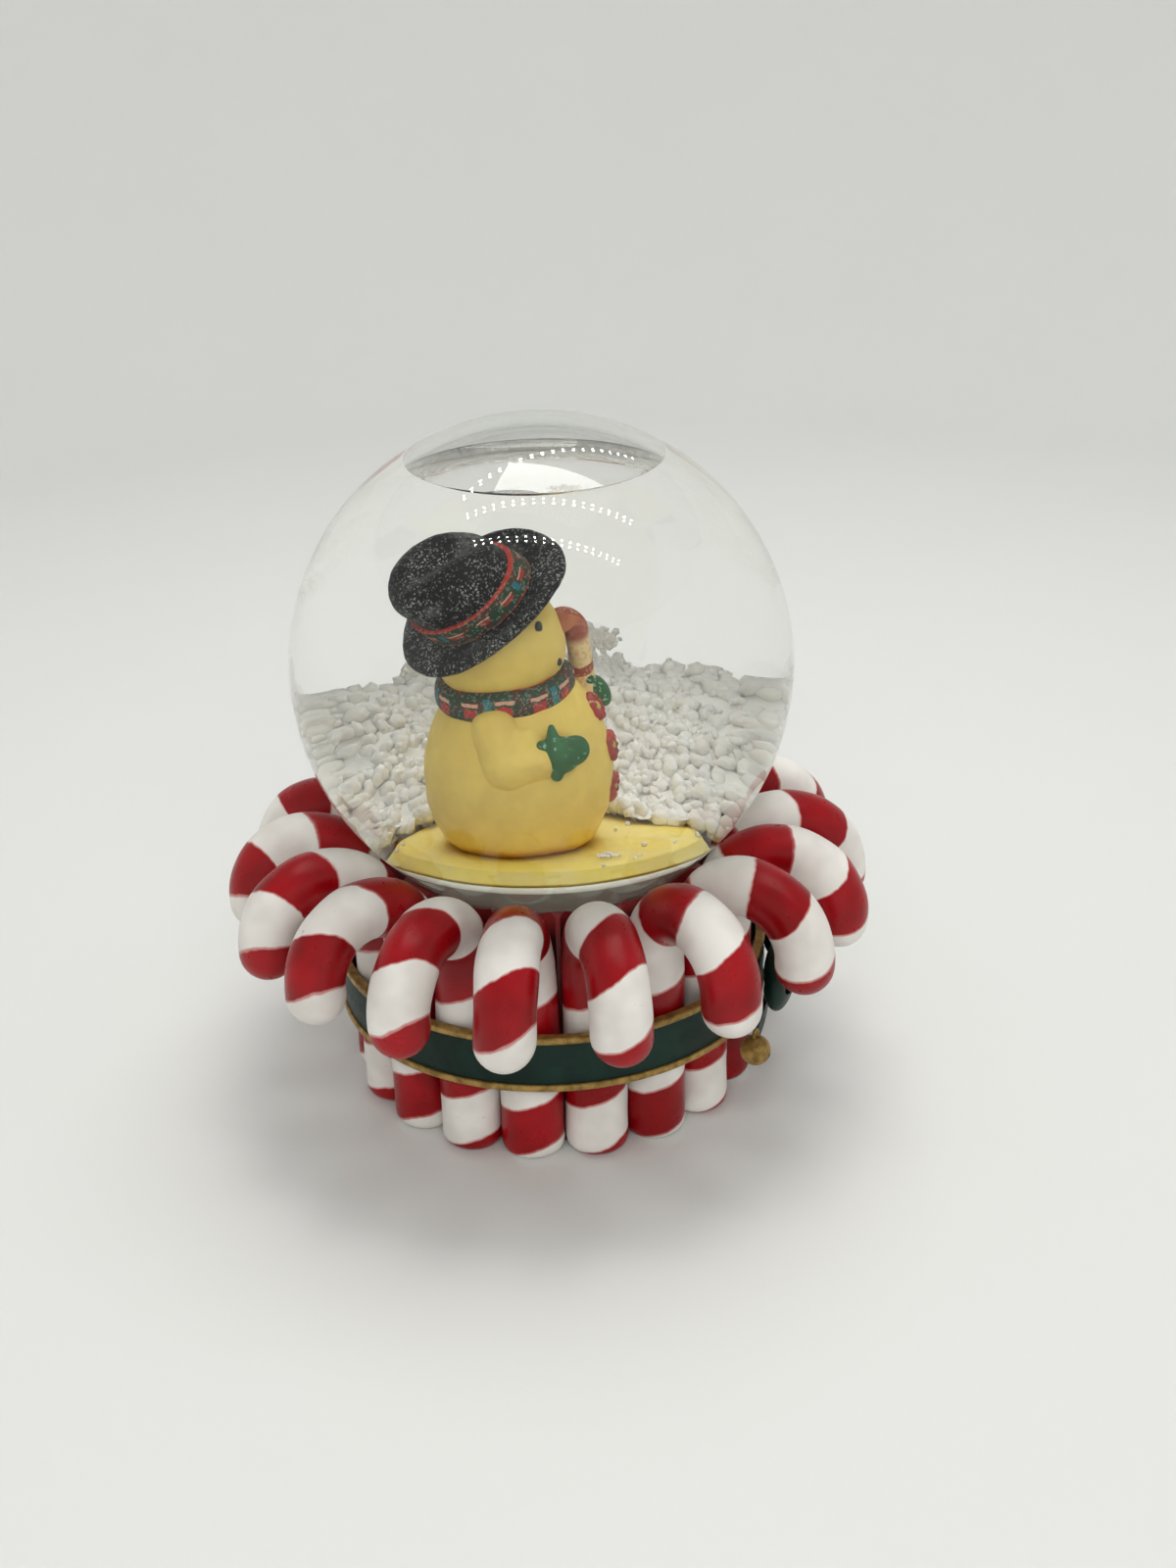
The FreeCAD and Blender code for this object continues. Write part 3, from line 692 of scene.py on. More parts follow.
def make_scarf():
    """Band of flattened rounded section wound once round the neck."""
    rounds, sides = 120, 32
    tilt = Matrix.Rotation(math.radians(-6.0), 3, "X")
    verts, around, across = [], [], []
    for i in range(rounds):
        turn = TAU * i / rounds
        out = Vector((math.cos(turn), math.sin(turn), 0))
        sag = 0.35 * lump((out.x * 3, out.y * 3, 0), 1.6, 31)
        radius = 8.35 + 0.25 * lump((out.x * 4, out.y * 4, 9), 1.5, 32)
        for k in range(sides):
            angle = -TAU * k / sides
            width = math.copysign(abs(math.cos(angle)) ** 0.8, math.cos(angle)) * 2.15
            height = math.copysign(abs(math.sin(angle)) ** 0.75, math.sin(angle)) * 2.45
            local = out * (radius + width) + Vector((0, 0, height + sag))
            local = tilt @ local + Vector((0, HEAD_BACK * 0.7, 24.2))
            verts.append(local)
            around.append(turn * 10.5)
            across.append(0.5 + math.atan2(math.sin(angle), max(math.cos(angle), 0.0)) / math.pi)
    faces = grid_faces(rounds, sides, closed_rows=True)
    piece = add_mesh("scarf_wrap", on_figure(verts), faces, ["scarf"], [plaid_paint])
    point_values(piece, "around", around)
    point_values(piece, "across", across)


BLACK, BLACK_WORN = (0.004, 0.004, 0.005), (0.010, 0.010, 0.011)
HAT_BACK, HAT_H, HAT_TILT = 4.6, 37.6, 34.0
BRIM_R, BRIM_T, CROWN_R, CROWN_H = 14.6, 1.7, 8.8, 12.5
HAT_ROLL = -7.0
HAT_BAND_H = 3.8
CROWN_LEAN = 0.30


def glitter_black():
    s = Shade("black paint with glitter")
    shader = s.principled(Roughness=0.5, Specular_IOR_Level=0.12)
    tone = s.mix(s.ramp(s.noise(150.0, 3.0), (0.42, 0.0), (0.62, 1.0)), BLACK, BLACK_WORN)
    worn = s.math("MULTIPLY", s.ramp(s.noise(85.0, 2.0), (0.58, 0.0), (0.72, 1.0)),
                  s.ramp(s.noise(900.0, 5.0, 0.7), (0.35, 0.0), (0.75, 0.9)))
    tone = s.mix(worn, tone, (0.30, 0.30, 0.29))
    split = s.node("ShaderNodeSeparateColor")
    s.link(s.cells(3800.0), split.inputs[0])
    density = s.math("MULTIPLY", s.ramp(s.noise(150.0, 3.0), (0.38, 0.80), (0.64, 1.0)), split.outputs[0])
    glint = s.ramp(density, (0.70, 0.0), (0.96, 1.0))
    s.link(s.mix(glint, tone, (0.40, 0.41, 0.39)), shader.inputs["Base Color"])
    s.bump(split.outputs[1], 0.4, 0.15, shader)
    return s.material


hat_paint = glitter_black()


def on_head(verts):
    tilt = Matrix.Rotation(math.radians(-HAT_TILT), 3, "X") @ Matrix.Rotation(math.radians(HAT_ROLL), 3, "Y")
    return on_figure([tilt @ Vector(v) + Vector((0, HAT_BACK, HAT_H)) for v in verts])


def make_hat():
    """Felt hat in one skin: a softly waved brim and a crown pinched in along its top."""
    half = BRIM_T / 2
    profile = [(0.0, -half)] + [(r, -half) for r in (4.0, 8.0, 10.0, 12.0, 13.2)]
    profile += bow_points(half, BRIM_R - half, 0.0, -90, 90, 10)
    profile += [(r, half) for r in (13.0, 12.0, 11.0)]
    profile += bow_points(1.0, CROWN_R + 1.0, half + 1.0, -90, -180, 6)
    profile += [(CROWN_R - 0.1, z) for z in (3.0, 4.4, 5.6, 6.6, 7.4)]
    profile += bow_points(4.8, CROWN_R - 4.8, CROWN_H - 4.8, 0, 90, 16)
    profile += [(r, CROWN_H) for r in (3.4, 2.3, 1.2)] + [(0.0, CROWN_H)]
    verts, faces = lathe(profile, 128)
    shaped = []
    for v in verts:
        reach = math.hypot(v.x, v.y)
        if reach > CROWN_R + 0.5:
            share = (reach - CROWN_R) / (BRIM_R - CROWN_R)
            turn = math.atan2(v.y, v.x)
            v.z += share ** 2 * (0.8 * math.cos(2 * turn) + 0.35 * math.cos(3 * turn + 1.0))
        v.y += CROWN_LEAN * max(v.z - half, 0.0) * (reach < CROWN_R + 0.5)
        if v.z > 6.0:
            share = min((v.z - 6.0) / 6.5, 1.0)
            pinch = math.exp(-(v.x / 3.0) ** 2) * math.exp(-((v.y + 1.0) / 8.0) ** 2)
            v.z -= 2.6 * share * pinch
            v.x *= 1.0 - 0.10 * share * math.exp(-((v.y + 7.0) / 4.5) ** 2)
        shaped.append(v)
    piece = add_mesh("felt_hat", on_head(shaped), faces, ["hat"], [hat_paint])
    push_out(piece, 0.25, 7.0, 41, 0.08)
    inner, outer, low = CROWN_R - 0.4, CROWN_R + 0.55, half
    profile = [(inner, low), (outer, low), (outer + 0.1, low + HAT_BAND_H / 2), (outer, low + HAT_BAND_H),
               (inner, low + HAT_BAND_H)]
    rows = []
    for (r0, z0), (r1, z1) in zip(profile, profile[1:]):
        rows += [(r0 + (r1 - r0) * i / 6, z0 + (z1 - z0) * i / 6) for i in range(6)]
    rows.append(profile[-1])
    segments = 160
    verts, faces = lathe(rows, segments, closed=True)
    around = [math.atan2(v.y, v.x) * 10.0 + 40.0 for v in verts]
    for v in verts:
        v.y += CROWN_LEAN * (v.z - low)
    piece = add_mesh("hat_ribbon", on_head(verts), faces, ["hat_band"], [plaid_paint])
    point_values(piece, "around", around)
    point_values(piece, "across", [(v.z - low) / HAT_BAND_H for v in verts])
    push_out(piece, 0.12, 3.0, 42)


cane_red = speckled("small cane red", ((0.42, 0.03, 0.02), (0.34, 0.10, 0.05)), (0.70, 0.30, 0.22), 0.12, 0.55)


def small_cane_material():
    s = Shade("small cane paint")
    shader = s.principled(Roughness=0.5)
    wobble = s.math("MULTIPLY_ADD", s.noise(700.0, 3.0), 1.0, -0.5)
    phase = s.math("FRACT", s.math("DIVIDE", s.math("ADD", s.value("paint"), wobble), 7.0))
    red = s.ramp(phase, (0.0, 0.0), (0.02, 1.0), (0.22, 1.0), (0.24, 0.0))
    hook = s.ramp(s.math("DIVIDE", s.value("paint"), 40.0), (0.30, 0.0), (0.33, 1.0))
    tone = s.mix(s.math("MAXIMUM", red, hook), (0.86, 0.68, 0.34), (0.36, 0.07, 0.03))
    split = s.node("ShaderNodeSeparateColor")
    s.link(s.cells(2800.0), split.inputs[0])
    s.link(s.mix(s.ramp(split.outputs[0], (0.74, 0.0), (0.80, 0.5)), tone, (0.66, 0.34, 0.22)),
           shader.inputs["Base Color"])
    s.bump(s.noise(1300.0, 3.0), 0.5, 0.12, shader)
    return s.material


def make_held_cane():
    shaft, hook_r, radius, sides = 13.2, 1.9, 1.75, 24
    turn = Matrix.Rotation(math.radians(-6.0), 3, "X") @ Matrix.Rotation(math.radians(168), 3, "Z")
    at = Vector((4.6, -11.2, 17.4))
    rows = []
    for i in range(5):
        angle = math.pi / 2 * i / 4
        rows.append((0.0, Vector((0, 0, 0.8 * (1 - math.cos(angle)))), Vector((0, 1, 0)),
                     radius - 0.8 * (1 - math.sin(angle))))
    for i in range(1, 25):
        height = 0.8 + (shaft - 0.8) * i / 24
        rows.append((height, Vector((0, 0, height)), Vector((0, 1, 0)), radius))
    for i in range(1, 19):
        angle = math.pi * i / 18
        rows.append((shaft + hook_r * angle, Vector((0, -hook_r + hook_r * math.cos(angle),
                     shaft + hook_r * math.sin(angle))), Vector((0, math.cos(angle), math.sin(angle))), radius))
    last = rows[-1]
    for i in range(1, 3):
        rows.append((last[0] + i * 0.8, last[1] - Vector((0, 0, i * 0.8)), last[2], radius))
    last = rows[-1]
    for i in range(1, 8):
        angle = math.pi / 2 * i / 7
        rows.append((last[0] + radius * math.sin(angle), last[1] - Vector((0, 0, radius * math.sin(angle))),
                     last[2], max(radius * math.cos(angle), 0.02)))
    verts, paint = [], []
    for distance, centre, convex, r in rows:
        for k in range(sides):
            angle = -TAU * k / sides
            out = convex * math.cos(angle) + Vector((1, 0, 0)) * math.sin(angle)
            uneven = 1.0 + 0.10 * lump(centre + out, 2.5, 51)
            verts.append(turn @ (centre + out * r * uneven) + at)
            paint.append(distance + 0.9 * math.sin(angle))
    piece = add_mesh("small_candy_cane", on_figure(verts), capped(len(rows), sides), ["held_candy_cane"],
                     [small_cane_material()])
    point_values(piece, "paint", paint)


coal_paint = painted("coal black paint", ((0.010, 0.010, 0.011), (0.025, 0.024, 0.024)), 0.5, scale=900.0)
# The third carrot colour is painted shade, laid into the nose's creases by ambient occlusion.
carrot_paint = painted("faded carrot paint", ((0.52, 0.17, 0.05), (0.42, 0.11, 0.035), (0.25, 0.06, 0.02)), 0.55,
                       scale=500.0)


def make_face():
    """Coal eyes and mouth and a carrot nose, each a little irregular."""
    places = [(-6.8, 5.0), (6.8, 5.0), (-5.2, -1.6), (-3.0, -3.2), (0.0, -3.9), (3.0, -3.2), (5.2, -1.6)]
    coals = []
    for index, (across, up) in enumerate(places):
        size = 0.85 if index < 2 else 0.72
        ahead = math.sqrt(HEAD_R ** 2 - across ** 2 - up ** 2)
        coals.append(blob((size, size * 0.75, size), (across, HEAD_BACK - ahead + 0.1, HEAD_H + up), rings=14,
                          segments=20))
    verts, faces = joined(*coals)
    piece = add_mesh("coal_eyes_and_mouth", on_figure(verts), faces, ["coal_face"], [coal_paint])
    push_out(piece, 0.25, 1.0, 61)
    profile = [(0.0, -0.6), (1.8, -0.6)] + [(1.8 - 1.3 * (i / 12) ** 0.9, 0.2 + i * 0.24) for i in range(13)]
    profile += [(0.2, 3.35), (0.0, 3.4)]
    verts, faces = lathe(profile, 36)
    point = Matrix.Rotation(math.radians(90 - 6.8), 3, "X")
    base = Vector((0, HEAD_BACK - HEAD_R + 0.8, HEAD_H + 2.6))
    piece = add_mesh("carrot_nose_skin", on_figure([point @ v + base for v in verts]), faces, ["carrot_nose"],
                     [carrot_paint])
    push_out(piece, 0.18, 1.4, 62)


wreath_paint = speckled("red wreath paint", ((0.45, 0.02, 0.02), (0.36, 0.05, 0.03)), (0.75, 0.42, 0.26), 0.10, 0.55)
wreath_middle = speckled("wreath middle paint", ((0.62, 0.50, 0.10), (0.48, 0.42, 0.12)), (0.80, 0.70, 0.40), 0.10,
                         0.55)


def make_wreaths():
    for index, height in enumerate((20.4, 14.2, 8.0)):
        place = Vector((0, -body_radius(height), height))
        slope = body_radius(height - 0.5) - body_radius(height + 0.5)
        out = Vector((0, -1, slope)).normalized()
        face = out.to_track_quat("Z", "Y").to_matrix()
        tip = Matrix.Rotation(math.radians(-16), 3, "Z")
        face = tip @ face
        place = Matrix.Rotation(math.radians(-7), 3, "Z") @ place
        verts = []
        rounds, sides = 44, 14
        for i in range(rounds):
            turn = TAU * i / rounds
            direction = Vector((math.cos(turn), math.sin(turn), 0))
            for k in range(sides):
                angle = TAU * k / sides
                section = 0.8 * (1 + 0.16 * math.cos(9 * turn + 2 * index))
                verts.append(direction * (1.5 + section * math.cos(angle)) + Vector((0, 0, section * math.sin(angle))))
        rounded = grid_faces(rounds, sides, closed_rows=True)
        middle = blob((0.95, 0.95, 0.8), (0, 0, 0), rings=12, segments=20)
        ring_faces = len(rounded)
        verts, faces = joined((verts, rounded), middle)
        placed = on_figure([face @ Vector(v) + place for v in verts])
        piece = add_mesh(f"wreath_button_skin_{index + 1}", placed, faces, [f"wreath_button_{index + 1}"],
                         [wreath_paint, wreath_middle])
        for polygon in list(piece.data.polygons)[ring_faces:]:
            polygon.material_index = 1
        push_out(piece, 0.16, 0.9, 70 + index)


make_body()
make_mittens()
make_scarf()
make_hat()
make_held_cane()
make_face()
make_wreaths()

# ---------------------------------------------------------------- slab, plug and flakes

# The third yellow is painted shade, laid into the slab's creases by ambient occlusion.
slab_paint = painted("aged yellow scenery with painted crease shade", ((0.99, 0.79, 0.155), (0.97, 0.80, 0.26), (0.84, 0.58, 0.06)), 0.6,
                     bump=0.16, scale=120.0)


def make_slab():
    profile = [(0.0, PLUG_TOP_Z + 0.02), (SLAB_LOW_R - 0.8, PLUG_TOP_Z + 0.02), (SLAB_LOW_R - 0.2, PLUG_TOP_Z + 0.5)]
    for i in range(1, 7):
        share = i / 7
        profile.append((SLAB_LOW_R - 0.2 - 1.5 * share, PLUG_TOP_Z + 0.5 + 2.1 * share))
    profile += bow_points(0.8, SLAB_TOP_R - 0.8, SLAB_TOP_Z - 0.8, 20, 90, 5)
    profile += [(SLAB_TOP_R * (1 - i / 16) - 0.4, SLAB_TOP_Z) for i in range(1, 16)] + [(0.0, SLAB_TOP_Z)]
    verts, faces = lathe(profile, 160)
    for v in verts:
        reach = math.hypot(v.x, v.y)
        if reach > 1.0:
            edge = 1.0 - 0.035 * (1 + lump((v.x, v.y, 0), 9.0, 81)) * min(reach / SLAB_LOW_R, 1.0)
            v.x *= edge
            v.y *= edge
        if v.z > SLAB_TOP_Z - 0.3:
            v.z -= 0.35 + 0.35 * lump((v.x, v.y, 0), 7.0, 82)
    add_mesh("scenery_slab", verts, faces, ["scenic_slab"], [slab_paint])


make_slab()

flake_white = Shade("white flakes")
flake_shader = flake_white.principled(Roughness=0.55, Specular_IOR_Level=0.3)
flake_white.link(flake_white.mix(flake_white.noise(420.0, 3.0), (0.94, 0.93, 0.90), (0.86, 0.85, 0.81)),
                 flake_shader.inputs["Base Color"])
flake_white.bump(flake_white.noise(2600.0, 3.0), 0.5, 0.15, flake_shader)
flake_paint = flake_white.material

FLAKE_LIMIT_R = INNER_R - 0.25
VIEW_TURN = Matrix.Rotation(math.radians(-91.9), 4, "Z")


def flake_shape(rng):
    """Corners and faces of one small chipped flake of about unit size."""
    gold = (1 + 5 ** 0.5) / 2
    corners = np.array([(-1, gold, 0), (1, gold, 0), (-1, -gold, 0), (1, -gold, 0), (0, -1, gold), (0, 1, gold),
                        (0, -1, -gold), (0, 1, -gold), (gold, 0, -1), (gold, 0, 1), (-gold, 0, -1), (-gold, 0, 1)])
    faces = np.array([(0, 11, 5), (0, 5, 1), (0, 1, 7), (0, 7, 10), (0, 10, 11), (1, 5, 9), (5, 11, 4), (11, 10, 2),
                      (10, 7, 6), (7, 1, 8), (3, 9, 4), (3, 4, 2), (3, 2, 6), (3, 6, 8), (3, 8, 9), (4, 9, 5),
                      (2, 4, 11), (6, 2, 10), (8, 6, 7), (9, 8, 1)])
    corners = corners / np.linalg.norm(corners[0]) * rng.uniform(0.82, 1.12, (12, 1))
    return corners * np.array([1.0, rng.uniform(0.7, 1.0), rng.uniform(0.5, 0.85)]), faces


def random_turn(rng):
    q = rng.normal(size=4)
    w, x, y, z = q / np.linalg.norm(q)
    return np.array([(1 - 2 * (y * y + z * z), 2 * (x * y - z * w), 2 * (x * z + y * w)),
                     (2 * (x * y + z * w), 1 - 2 * (x * x + z * z), 2 * (y * z - x * w)),
                     (2 * (x * z - y * w), 2 * (y * z + x * w), 1 - 2 * (x * x + y * y))])


def scatter_flakes(name, points, sizes, seed, nodes=()):
    rng = np.random.default_rng(seed)
    all_verts, all_faces, base = [], [], 0
    for point, size in zip(points, sizes):
        corners, faces = flake_shape(rng)
        placed = corners @ random_turn(rng).T * size + point
        from_centre = placed - np.array((0, 0, GLOBE_Z))
        reach = np.linalg.norm(from_centre, axis=1, keepdims=True)
        placed = np.array((0, 0, GLOBE_Z)) + from_centre * np.minimum(1.0, FLAKE_LIMIT_R / reach)
        all_verts.append(placed)
        all_faces.append(faces + base)
        base += len(corners)
    piece = add_mesh(name, np.concatenate(all_verts), np.concatenate(all_faces).tolist(), nodes,
                     [flake_paint])
    return piece


def heap_top(place):
    """Greatest height of the heap: 72 mm, raised and lowered a little by smooth noise."""
    return 72.0 + 1.8 * lump(place, 8.0, 93) + 1.0 * lump(place, 3.5, 94)


def make_flakes():
    """A drift behind the snowman: a lumpy heap with chipped flakes all over it, and a few strays."""
    source = NODES["snow_flakes"].data
    source.calc_loop_triangles()
    verts = [v.co / MM for v in source.vertices]
    faces = [tuple(t.vertices) for t in source.loop_triangles]
    heap = add_mesh("flake_heap", verts, faces, ["snow_flakes"], [flake_paint])
    merge_skin(heap, 0.9, 6)
    centre = Vector((0, 0, GLOBE_Z))
    normals = [v.normal.copy() for v in heap.data.vertices]
    for vertex, normal in zip(heap.data.vertices, normals):
        place = vertex.co / MM
        place += normal * (2.2 * lump(place, 9.0, 91) + 0.9 * lump(place, 3.0, 92) - 1.4)
        place.z = min(place.z, heap_top(place))
        offset = place - centre
        if offset.length > FLAKE_LIMIT_R - 0.6:
            place = centre + offset * ((FLAKE_LIMIT_R - 0.6) / offset.length)
        vertex.co = place * MM
    heap.data.update()
    heap.data.calc_loop_triangles()
    coords = np.array([v.co for v in heap.data.vertices]) / MM
    triangles = np.array([t.vertices for t in heap.data.loop_triangles])
    corners = coords[triangles]
    areas = np.linalg.norm(np.cross(corners[:, 1] - corners[:, 0], corners[:, 2] - corners[:, 0]), axis=1) / 2
    rng = np.random.default_rng(7)
    count = 4200
    chosen = rng.choice(len(areas), size=count, p=areas / areas.sum())
    split = rng.dirichlet((1, 1, 1), size=count)
    points = (corners[chosen] * split[:, :, None]).sum(axis=1)
    normal = np.cross(corners[chosen, 1] - corners[chosen, 0], corners[chosen, 2] - corners[chosen, 0])
    normal /= np.linalg.norm(normal, axis=1, keepdims=True) + 1e-9
    points += normal * rng.uniform(-0.2, 0.5, (count, 1))
    scatter_flakes("flake_drift", points, rng.uniform(0.6, 1.5, count), 8)
    strays = []
    while len(strays) < 14:
        x, y = rng.uniform(-26, 26, 2)
        if math.hypot(x, y) < 23.0 and math.hypot(x, y - FIGURE_AT.y) > 15.0:
            strays.append((x, y, SLAB_TOP_Z - 0.1))
    heap_at = VIEW_TURN @ Vector((9.0, -13.0, SLAB_TOP_Z))
    for _ in range(16):
        x, y = rng.normal(0.0, 1.1, 2)
        strays.append((heap_at.x + x, heap_at.y + y, SLAB_TOP_Z + rng.uniform(0.0, 0.5)))
    scatter_flakes("flake_strays", np.array(strays), rng.uniform(0.25, 0.6, len(strays)), 9)
    clinging = []
    for turn, lift, wide in ((-21.6, -19.6, 1.5), (-17.0, -21.6, 2.2), (8.5, -16.8, 4.4), (11.0, -20.4, 3.0),
                             (21.4, -20.6, 1.3)):
        for _ in range(int(36 * wide)):
            across = math.radians(90.0 - turn + rng.normal(0.0, wide * 0.45))
            rise = math.radians(lift + rng.normal(0.0, 0.35 + wide * 0.12))
            out = Vector((math.cos(across) * math.cos(rise), math.sin(across) * math.cos(rise), math.sin(rise)))
            clinging.append(VIEW_TURN @ (out * (FLAKE_LIMIT_R - 0.35)) + Vector((0, 0, GLOBE_Z)))
    scatter_flakes("flake_clumps", np.array(clinging), rng.uniform(0.35, 0.75, len(clinging)), 11)


make_flakes()

# ---------------------------------------------------------------- base, band, bow and movement

# The third green is painted shade, laid into the creases of the band and bow by ambient occlusion.
GREEN_DEEP, GREEN_LIT, GREEN_CREASE_SHADE = (0.004, 0.018, 0.013), (0.007, 0.030, 0.022), (0.002, 0.008, 0.006)
green_paint = painted("dark green satin paint", (GREEN_DEEP, GREEN_LIT, GREEN_CREASE_SHADE), 0.45, bump=0.10,
                      Specular_IOR_Level=0.22)
# The third red is painted shade, darkening the flutes between the canes by ambient occlusion.
core_paint = painted("deep red flute paint", ((0.26, 0.012, 0.014), (0.36, 0.03, 0.03), (0.06, 0.004, 0.004)), 0.5,
                     scale=60.0)
# The third colour of the plug is painted shade, laid into its creases by ambient occlusion.
plug_rubber = painted("aged off-white plug with painted crease shade", ((0.95, 0.93, 0.82), (0.88, 0.85, 0.72), (0.30, 0.28, 0.20)), 0.6,
                      scale=230.0, low=0.5, high=0.7, bump=0.14)
cover_plastic = painted("moulded black plastic", ((0.020, 0.020, 0.021), (0.028, 0.028, 0.029)), 0.5, grain=1400.0,
                        bump=0.10)


def worn_gold():
    """Antique gold paint: matte high spots over brown in the low ones."""
    s = Shade("antique gold paint")
    shader = s.principled(Metallic=0.55)
    patch = s.ramp(s.noise(420.0, 4.0, 0.6), (0.38, 0.0), (0.62, 1.0))
    tone = s.mix(patch, (0.22, 0.13, 0.03), (0.46, 0.29, 0.085))
    tone = s.mix(s.ramp(s.crevice(1.5), (0.2, 0.75), (0.8, 0.0)), tone, (0.12, 0.075, 0.03))
    grain = s.noise(1500.0, 4.0)
    s.link(tone, shader.inputs["Base Color"])
    s.link(s.ramp(grain, (0.3, 0.36), (0.7, 0.56)), shader.inputs["Roughness"])
    s.bump(grain, 0.6, 0.10, shader)
    return s.material


def turned_metal(name, light, dark, rough):
    """Plated or machined metal with fine turning marks and a few dull patches."""
    s = Shade(name)
    shader = s.principled(Metallic=1.0)
    patch = s.ramp(s.noise(260.0, 4.0), (0.4, 0.0), (0.7, 1.0))
    s.link(s.mix(patch, light, dark), shader.inputs["Base Color"])
    marks = s.node("ShaderNodeTexWave", wave_type="RINGS", rings_direction="Z")
    marks.inputs["Scale"].default_value = 1400.0
    marks.inputs["Distortion"].default_value = 2.0
    s.link(s.place(), marks.inputs["Vector"])
    s.link(s.math("MULTIPLY_ADD", marks.outputs["Fac"], 0.10, s.math("MULTIPLY_ADD", patch, 0.12, rough)),
           shader.inputs["Roughness"])
    s.bump(marks.outputs["Fac"], 0.25, 0.03, shader)
    return s.material


gold_paint = worn_gold()
zinc_plate = turned_metal("zinc plate", (0.60, 0.60, 0.58), (0.42, 0.42, 0.41), 0.28)
brass_metal = turned_metal("machined brass", (0.72, 0.52, 0.20), (0.55, 0.38, 0.14), 0.24)
steel_metal = turned_metal("ground spring steel", (0.50, 0.51, 0.53), (0.38, 0.38, 0.40), 0.22)

CAD_MATERIALS = {
    "base_core": core_paint, "bottom_cover": cover_plastic, "movement_screws": zinc_plate,
    "ribbon_band": green_paint, "gold_trim_upper": gold_paint, "gold_trim_lower": gold_paint,
    "bow_loop_left": green_paint, "bow_loop_right": green_paint, "bow_knot": green_paint,
    "bow_tail_left": green_paint, "bow_tail_right": green_paint, "jingle_bell_left": gold_paint,
    "jingle_bell_right": gold_paint, "globe_plug": plug_rubber, "bedplate": zinc_plate,
    "governor_bracket": zinc_plate, "governor_fan": brass_metal, "music_comb": steel_metal,
    "pinned_cylinder": brass_metal, "spring_barrel": brass_metal, "winding_key": zinc_plate,
}
for cad_node, cad_material in CAD_MATERIALS.items():
    for material_slot in NODES[cad_node].material_slots:
        material_slot.material = cad_material

# ---------------------------------------------------------------- floor, light and camera

def make_floor():
    """Pale tabletop that sweeps up into a low backdrop all round."""
    flat, bend, top = 560.0, 260.0, 560.0
    profile = [(0.0, 0.0)] + [(flat * i / 10, 0.0) for i in range(1, 11)]
    profile += bow_points(bend, flat, bend, -90, 0, 24)[1:]
    profile.append((flat + bend, top))
    verts, faces = lathe([(r, z) for r, z in profile], 160)
    mesh = bpy.data.meshes.new("floor_sweep")
    mesh.from_pydata([tuple(c * MM for c in v) for v in verts], [], [tuple(reversed(f)) for f in faces])
    mesh.polygons.foreach_set("use_smooth", [True] * len(mesh.polygons))
    floor = bpy.data.objects.new("floor_sweep", mesh)
    bpy.context.scene.collection.objects.link(floor)
    s = Shade("pale tabletop")
    shader = s.principled(Roughness=0.5, Specular_IOR_Level=0.3)
    s.link(s.mix(s.noise(14.0, 3.0), (0.775, 0.78, 0.765), (0.755, 0.76, 0.745)), shader.inputs["Base Color"])
    mesh.materials.append(s.material)


def area_light(name, at, size, power, target=(0.0, 0.0, 60.0), colour=(1.0, 0.995, 0.97)):
    """Soft rectangle of light; places are in millimetres, drawn for a camera that looks along +Y."""
    data = bpy.data.lights.new(name, "AREA")
    data.shape = "RECTANGLE"
    data.size, data.size_y = size[0] * MM, size[1] * MM
    data.energy = power
    data.color = colour
    light = bpy.data.objects.new(name, data)
    bpy.context.scene.collection.objects.link(light)
    place = Vector(at) * MM
    aim = (place - Vector(target) * MM).to_track_quat("Z", "Y").to_matrix().to_4x4()
    light.matrix_world = VIEW_TURN @ Matrix.Translation(place) @ aim
    light.visible_glossy = False


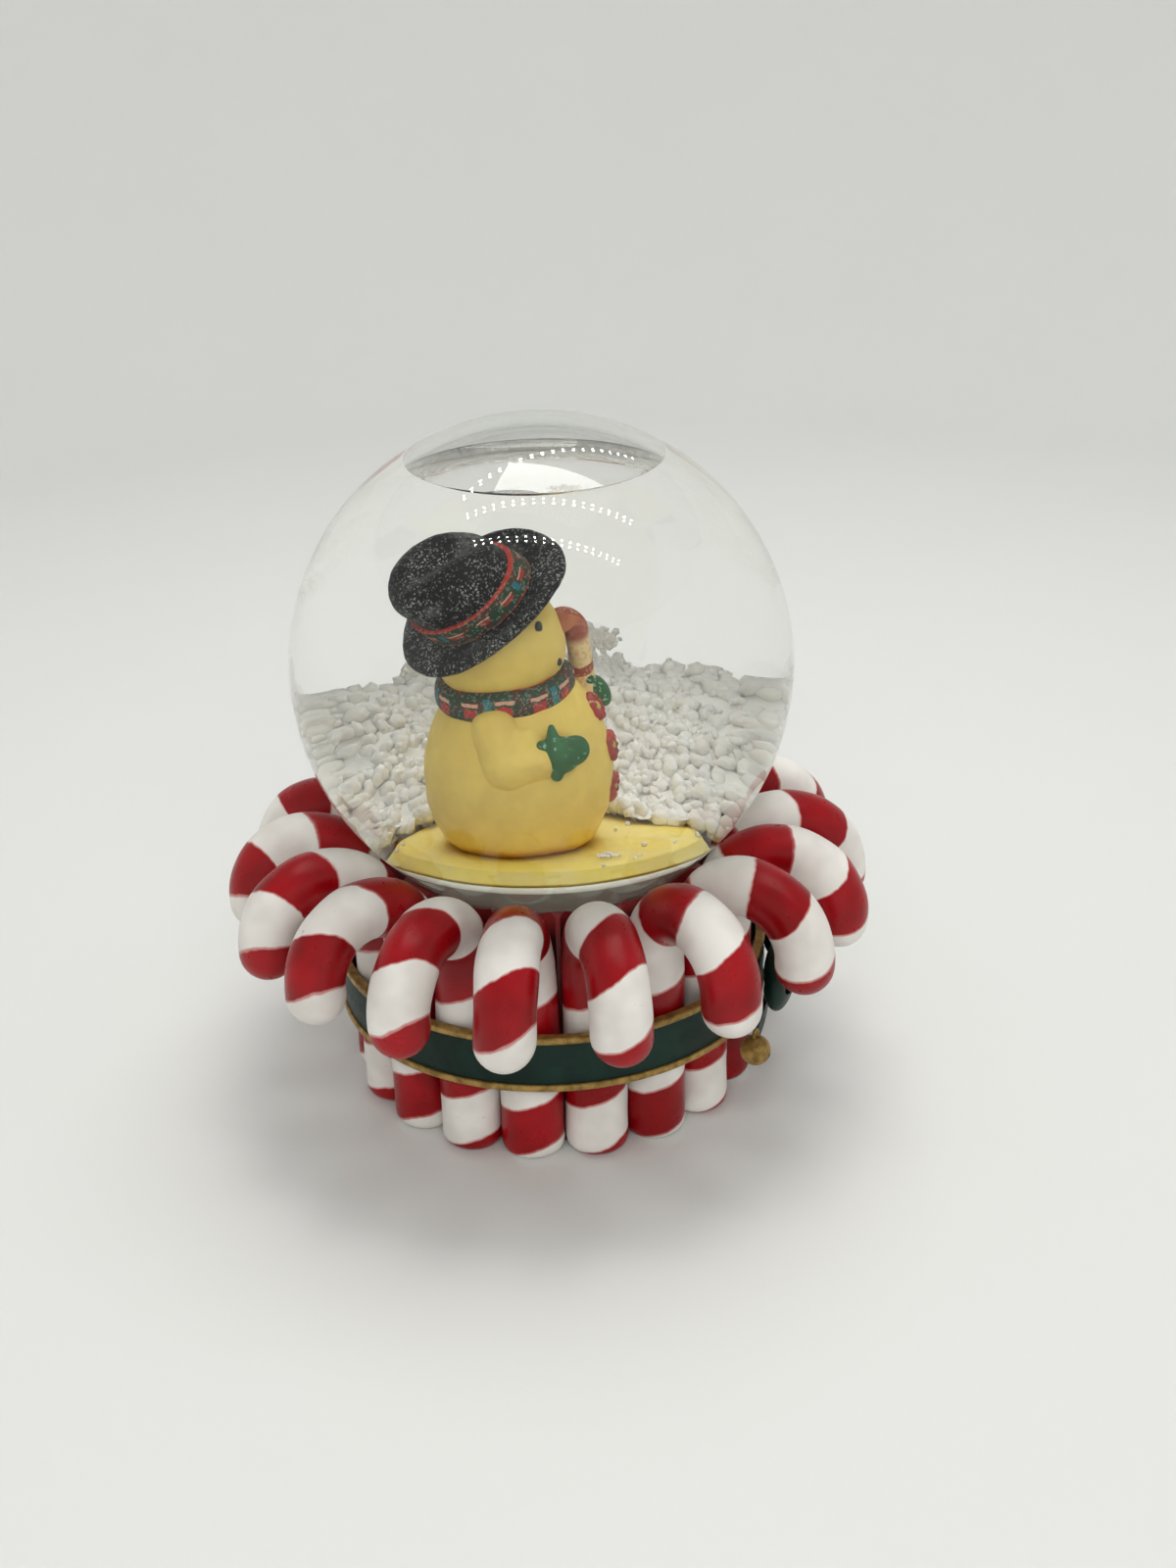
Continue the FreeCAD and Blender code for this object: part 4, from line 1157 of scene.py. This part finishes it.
def make_light_strips():
    """Rows of small diodes overhead, which only show as the dotted glints on the glass and the gloss paint."""
    s = Shade("diode glow")
    s.shader("ShaderNodeEmission", Color=(1.0, 0.99, 0.96, 1.0), Strength=60.0)
    verts, faces = [], []
    for strip_y, slope in ((3.0, 0.0), (-122.0, -0.16), (205.0, 0.8)):
        for row in (0.0, 14.0):
            for i in range(19):
                x, z, half = -160.0 + 22.0 * i, 460.0, 2.8
                y = strip_y + row + slope * x
                base = len(verts)
                corners = ((x - half, y - half), (x - half, y + half), (x + half, y + half), (x + half, y - half))
                verts += [Vector((cx, cy, z)) for cx, cy in corners]
                faces.append((base, base + 1, base + 2, base + 3))
    mesh = bpy.data.meshes.new("light_strips")
    mesh.from_pydata([tuple(VIEW_TURN @ (v * MM)) for v in verts], [], faces)
    mesh.materials.append(s.material)
    strips = bpy.data.objects.new("light_strips", mesh)
    bpy.context.scene.collection.objects.link(strips)
    strips.visible_diffuse = False
    strips.visible_camera = False
    strips.visible_transmission = False
    strips.visible_shadow = False


def make_world(strength, colour):
    world = bpy.data.worlds.new("soft surround")
    bpy.context.scene.world = world
    world.use_nodes = True
    background = world.node_tree.nodes["Background"]
    background.inputs["Color"].default_value = (*colour, 1.0)
    background.inputs["Strength"].default_value = strength


def make_camera():
    pitch, roll, yaw = math.radians(24.5), math.radians(-1.53), math.radians(1.40)
    ahead = Vector((math.sin(yaw) * math.cos(pitch), math.cos(yaw) * math.cos(pitch), -math.sin(pitch)))
    level = Vector((math.cos(yaw), -math.sin(yaw), 0))
    upright = level.cross(ahead)
    right = level * math.cos(roll) + upright * math.sin(roll)
    up = upright * math.cos(roll) - level * math.sin(roll)
    place = Matrix((right, up, -ahead)).transposed().to_4x4()
    place.translation = Vector((0, -348.0, 221.4)) * MM
    data = bpy.data.cameras.new("camera")
    data.sensor_width = 36.0
    data.lens = 42.75
    data.clip_start = 0.01
    camera = bpy.data.objects.new("camera", data)
    bpy.context.scene.collection.objects.link(camera)
    camera.matrix_world = VIEW_TURN @ place
    bpy.context.scene.camera = camera


make_floor()
make_world(0.40, (0.99, 1.0, 0.985))
area_light("overhead panel", (60.0, 150.0, 760.0), (460.0, 360.0), 3.3)
area_light("front panel", (40.0, -780.0, 560.0), (620.0, 300.0), 3.4)
make_light_strips()
make_camera()

scene = bpy.context.scene
scene.view_settings.view_transform = "Standard"
scene.view_settings.look = "None"
scene.view_settings.exposure = 0.0
scene.cycles.max_bounces = 24
scene.cycles.transmission_bounces = 18
scene.cycles.transparent_max_bounces = 16
scene.cycles.glossy_bounces = 6
scene.cycles.diffuse_bounces = 4
scene.cycles.caustics_refractive = True
scene.cycles.caustics_reflective = False
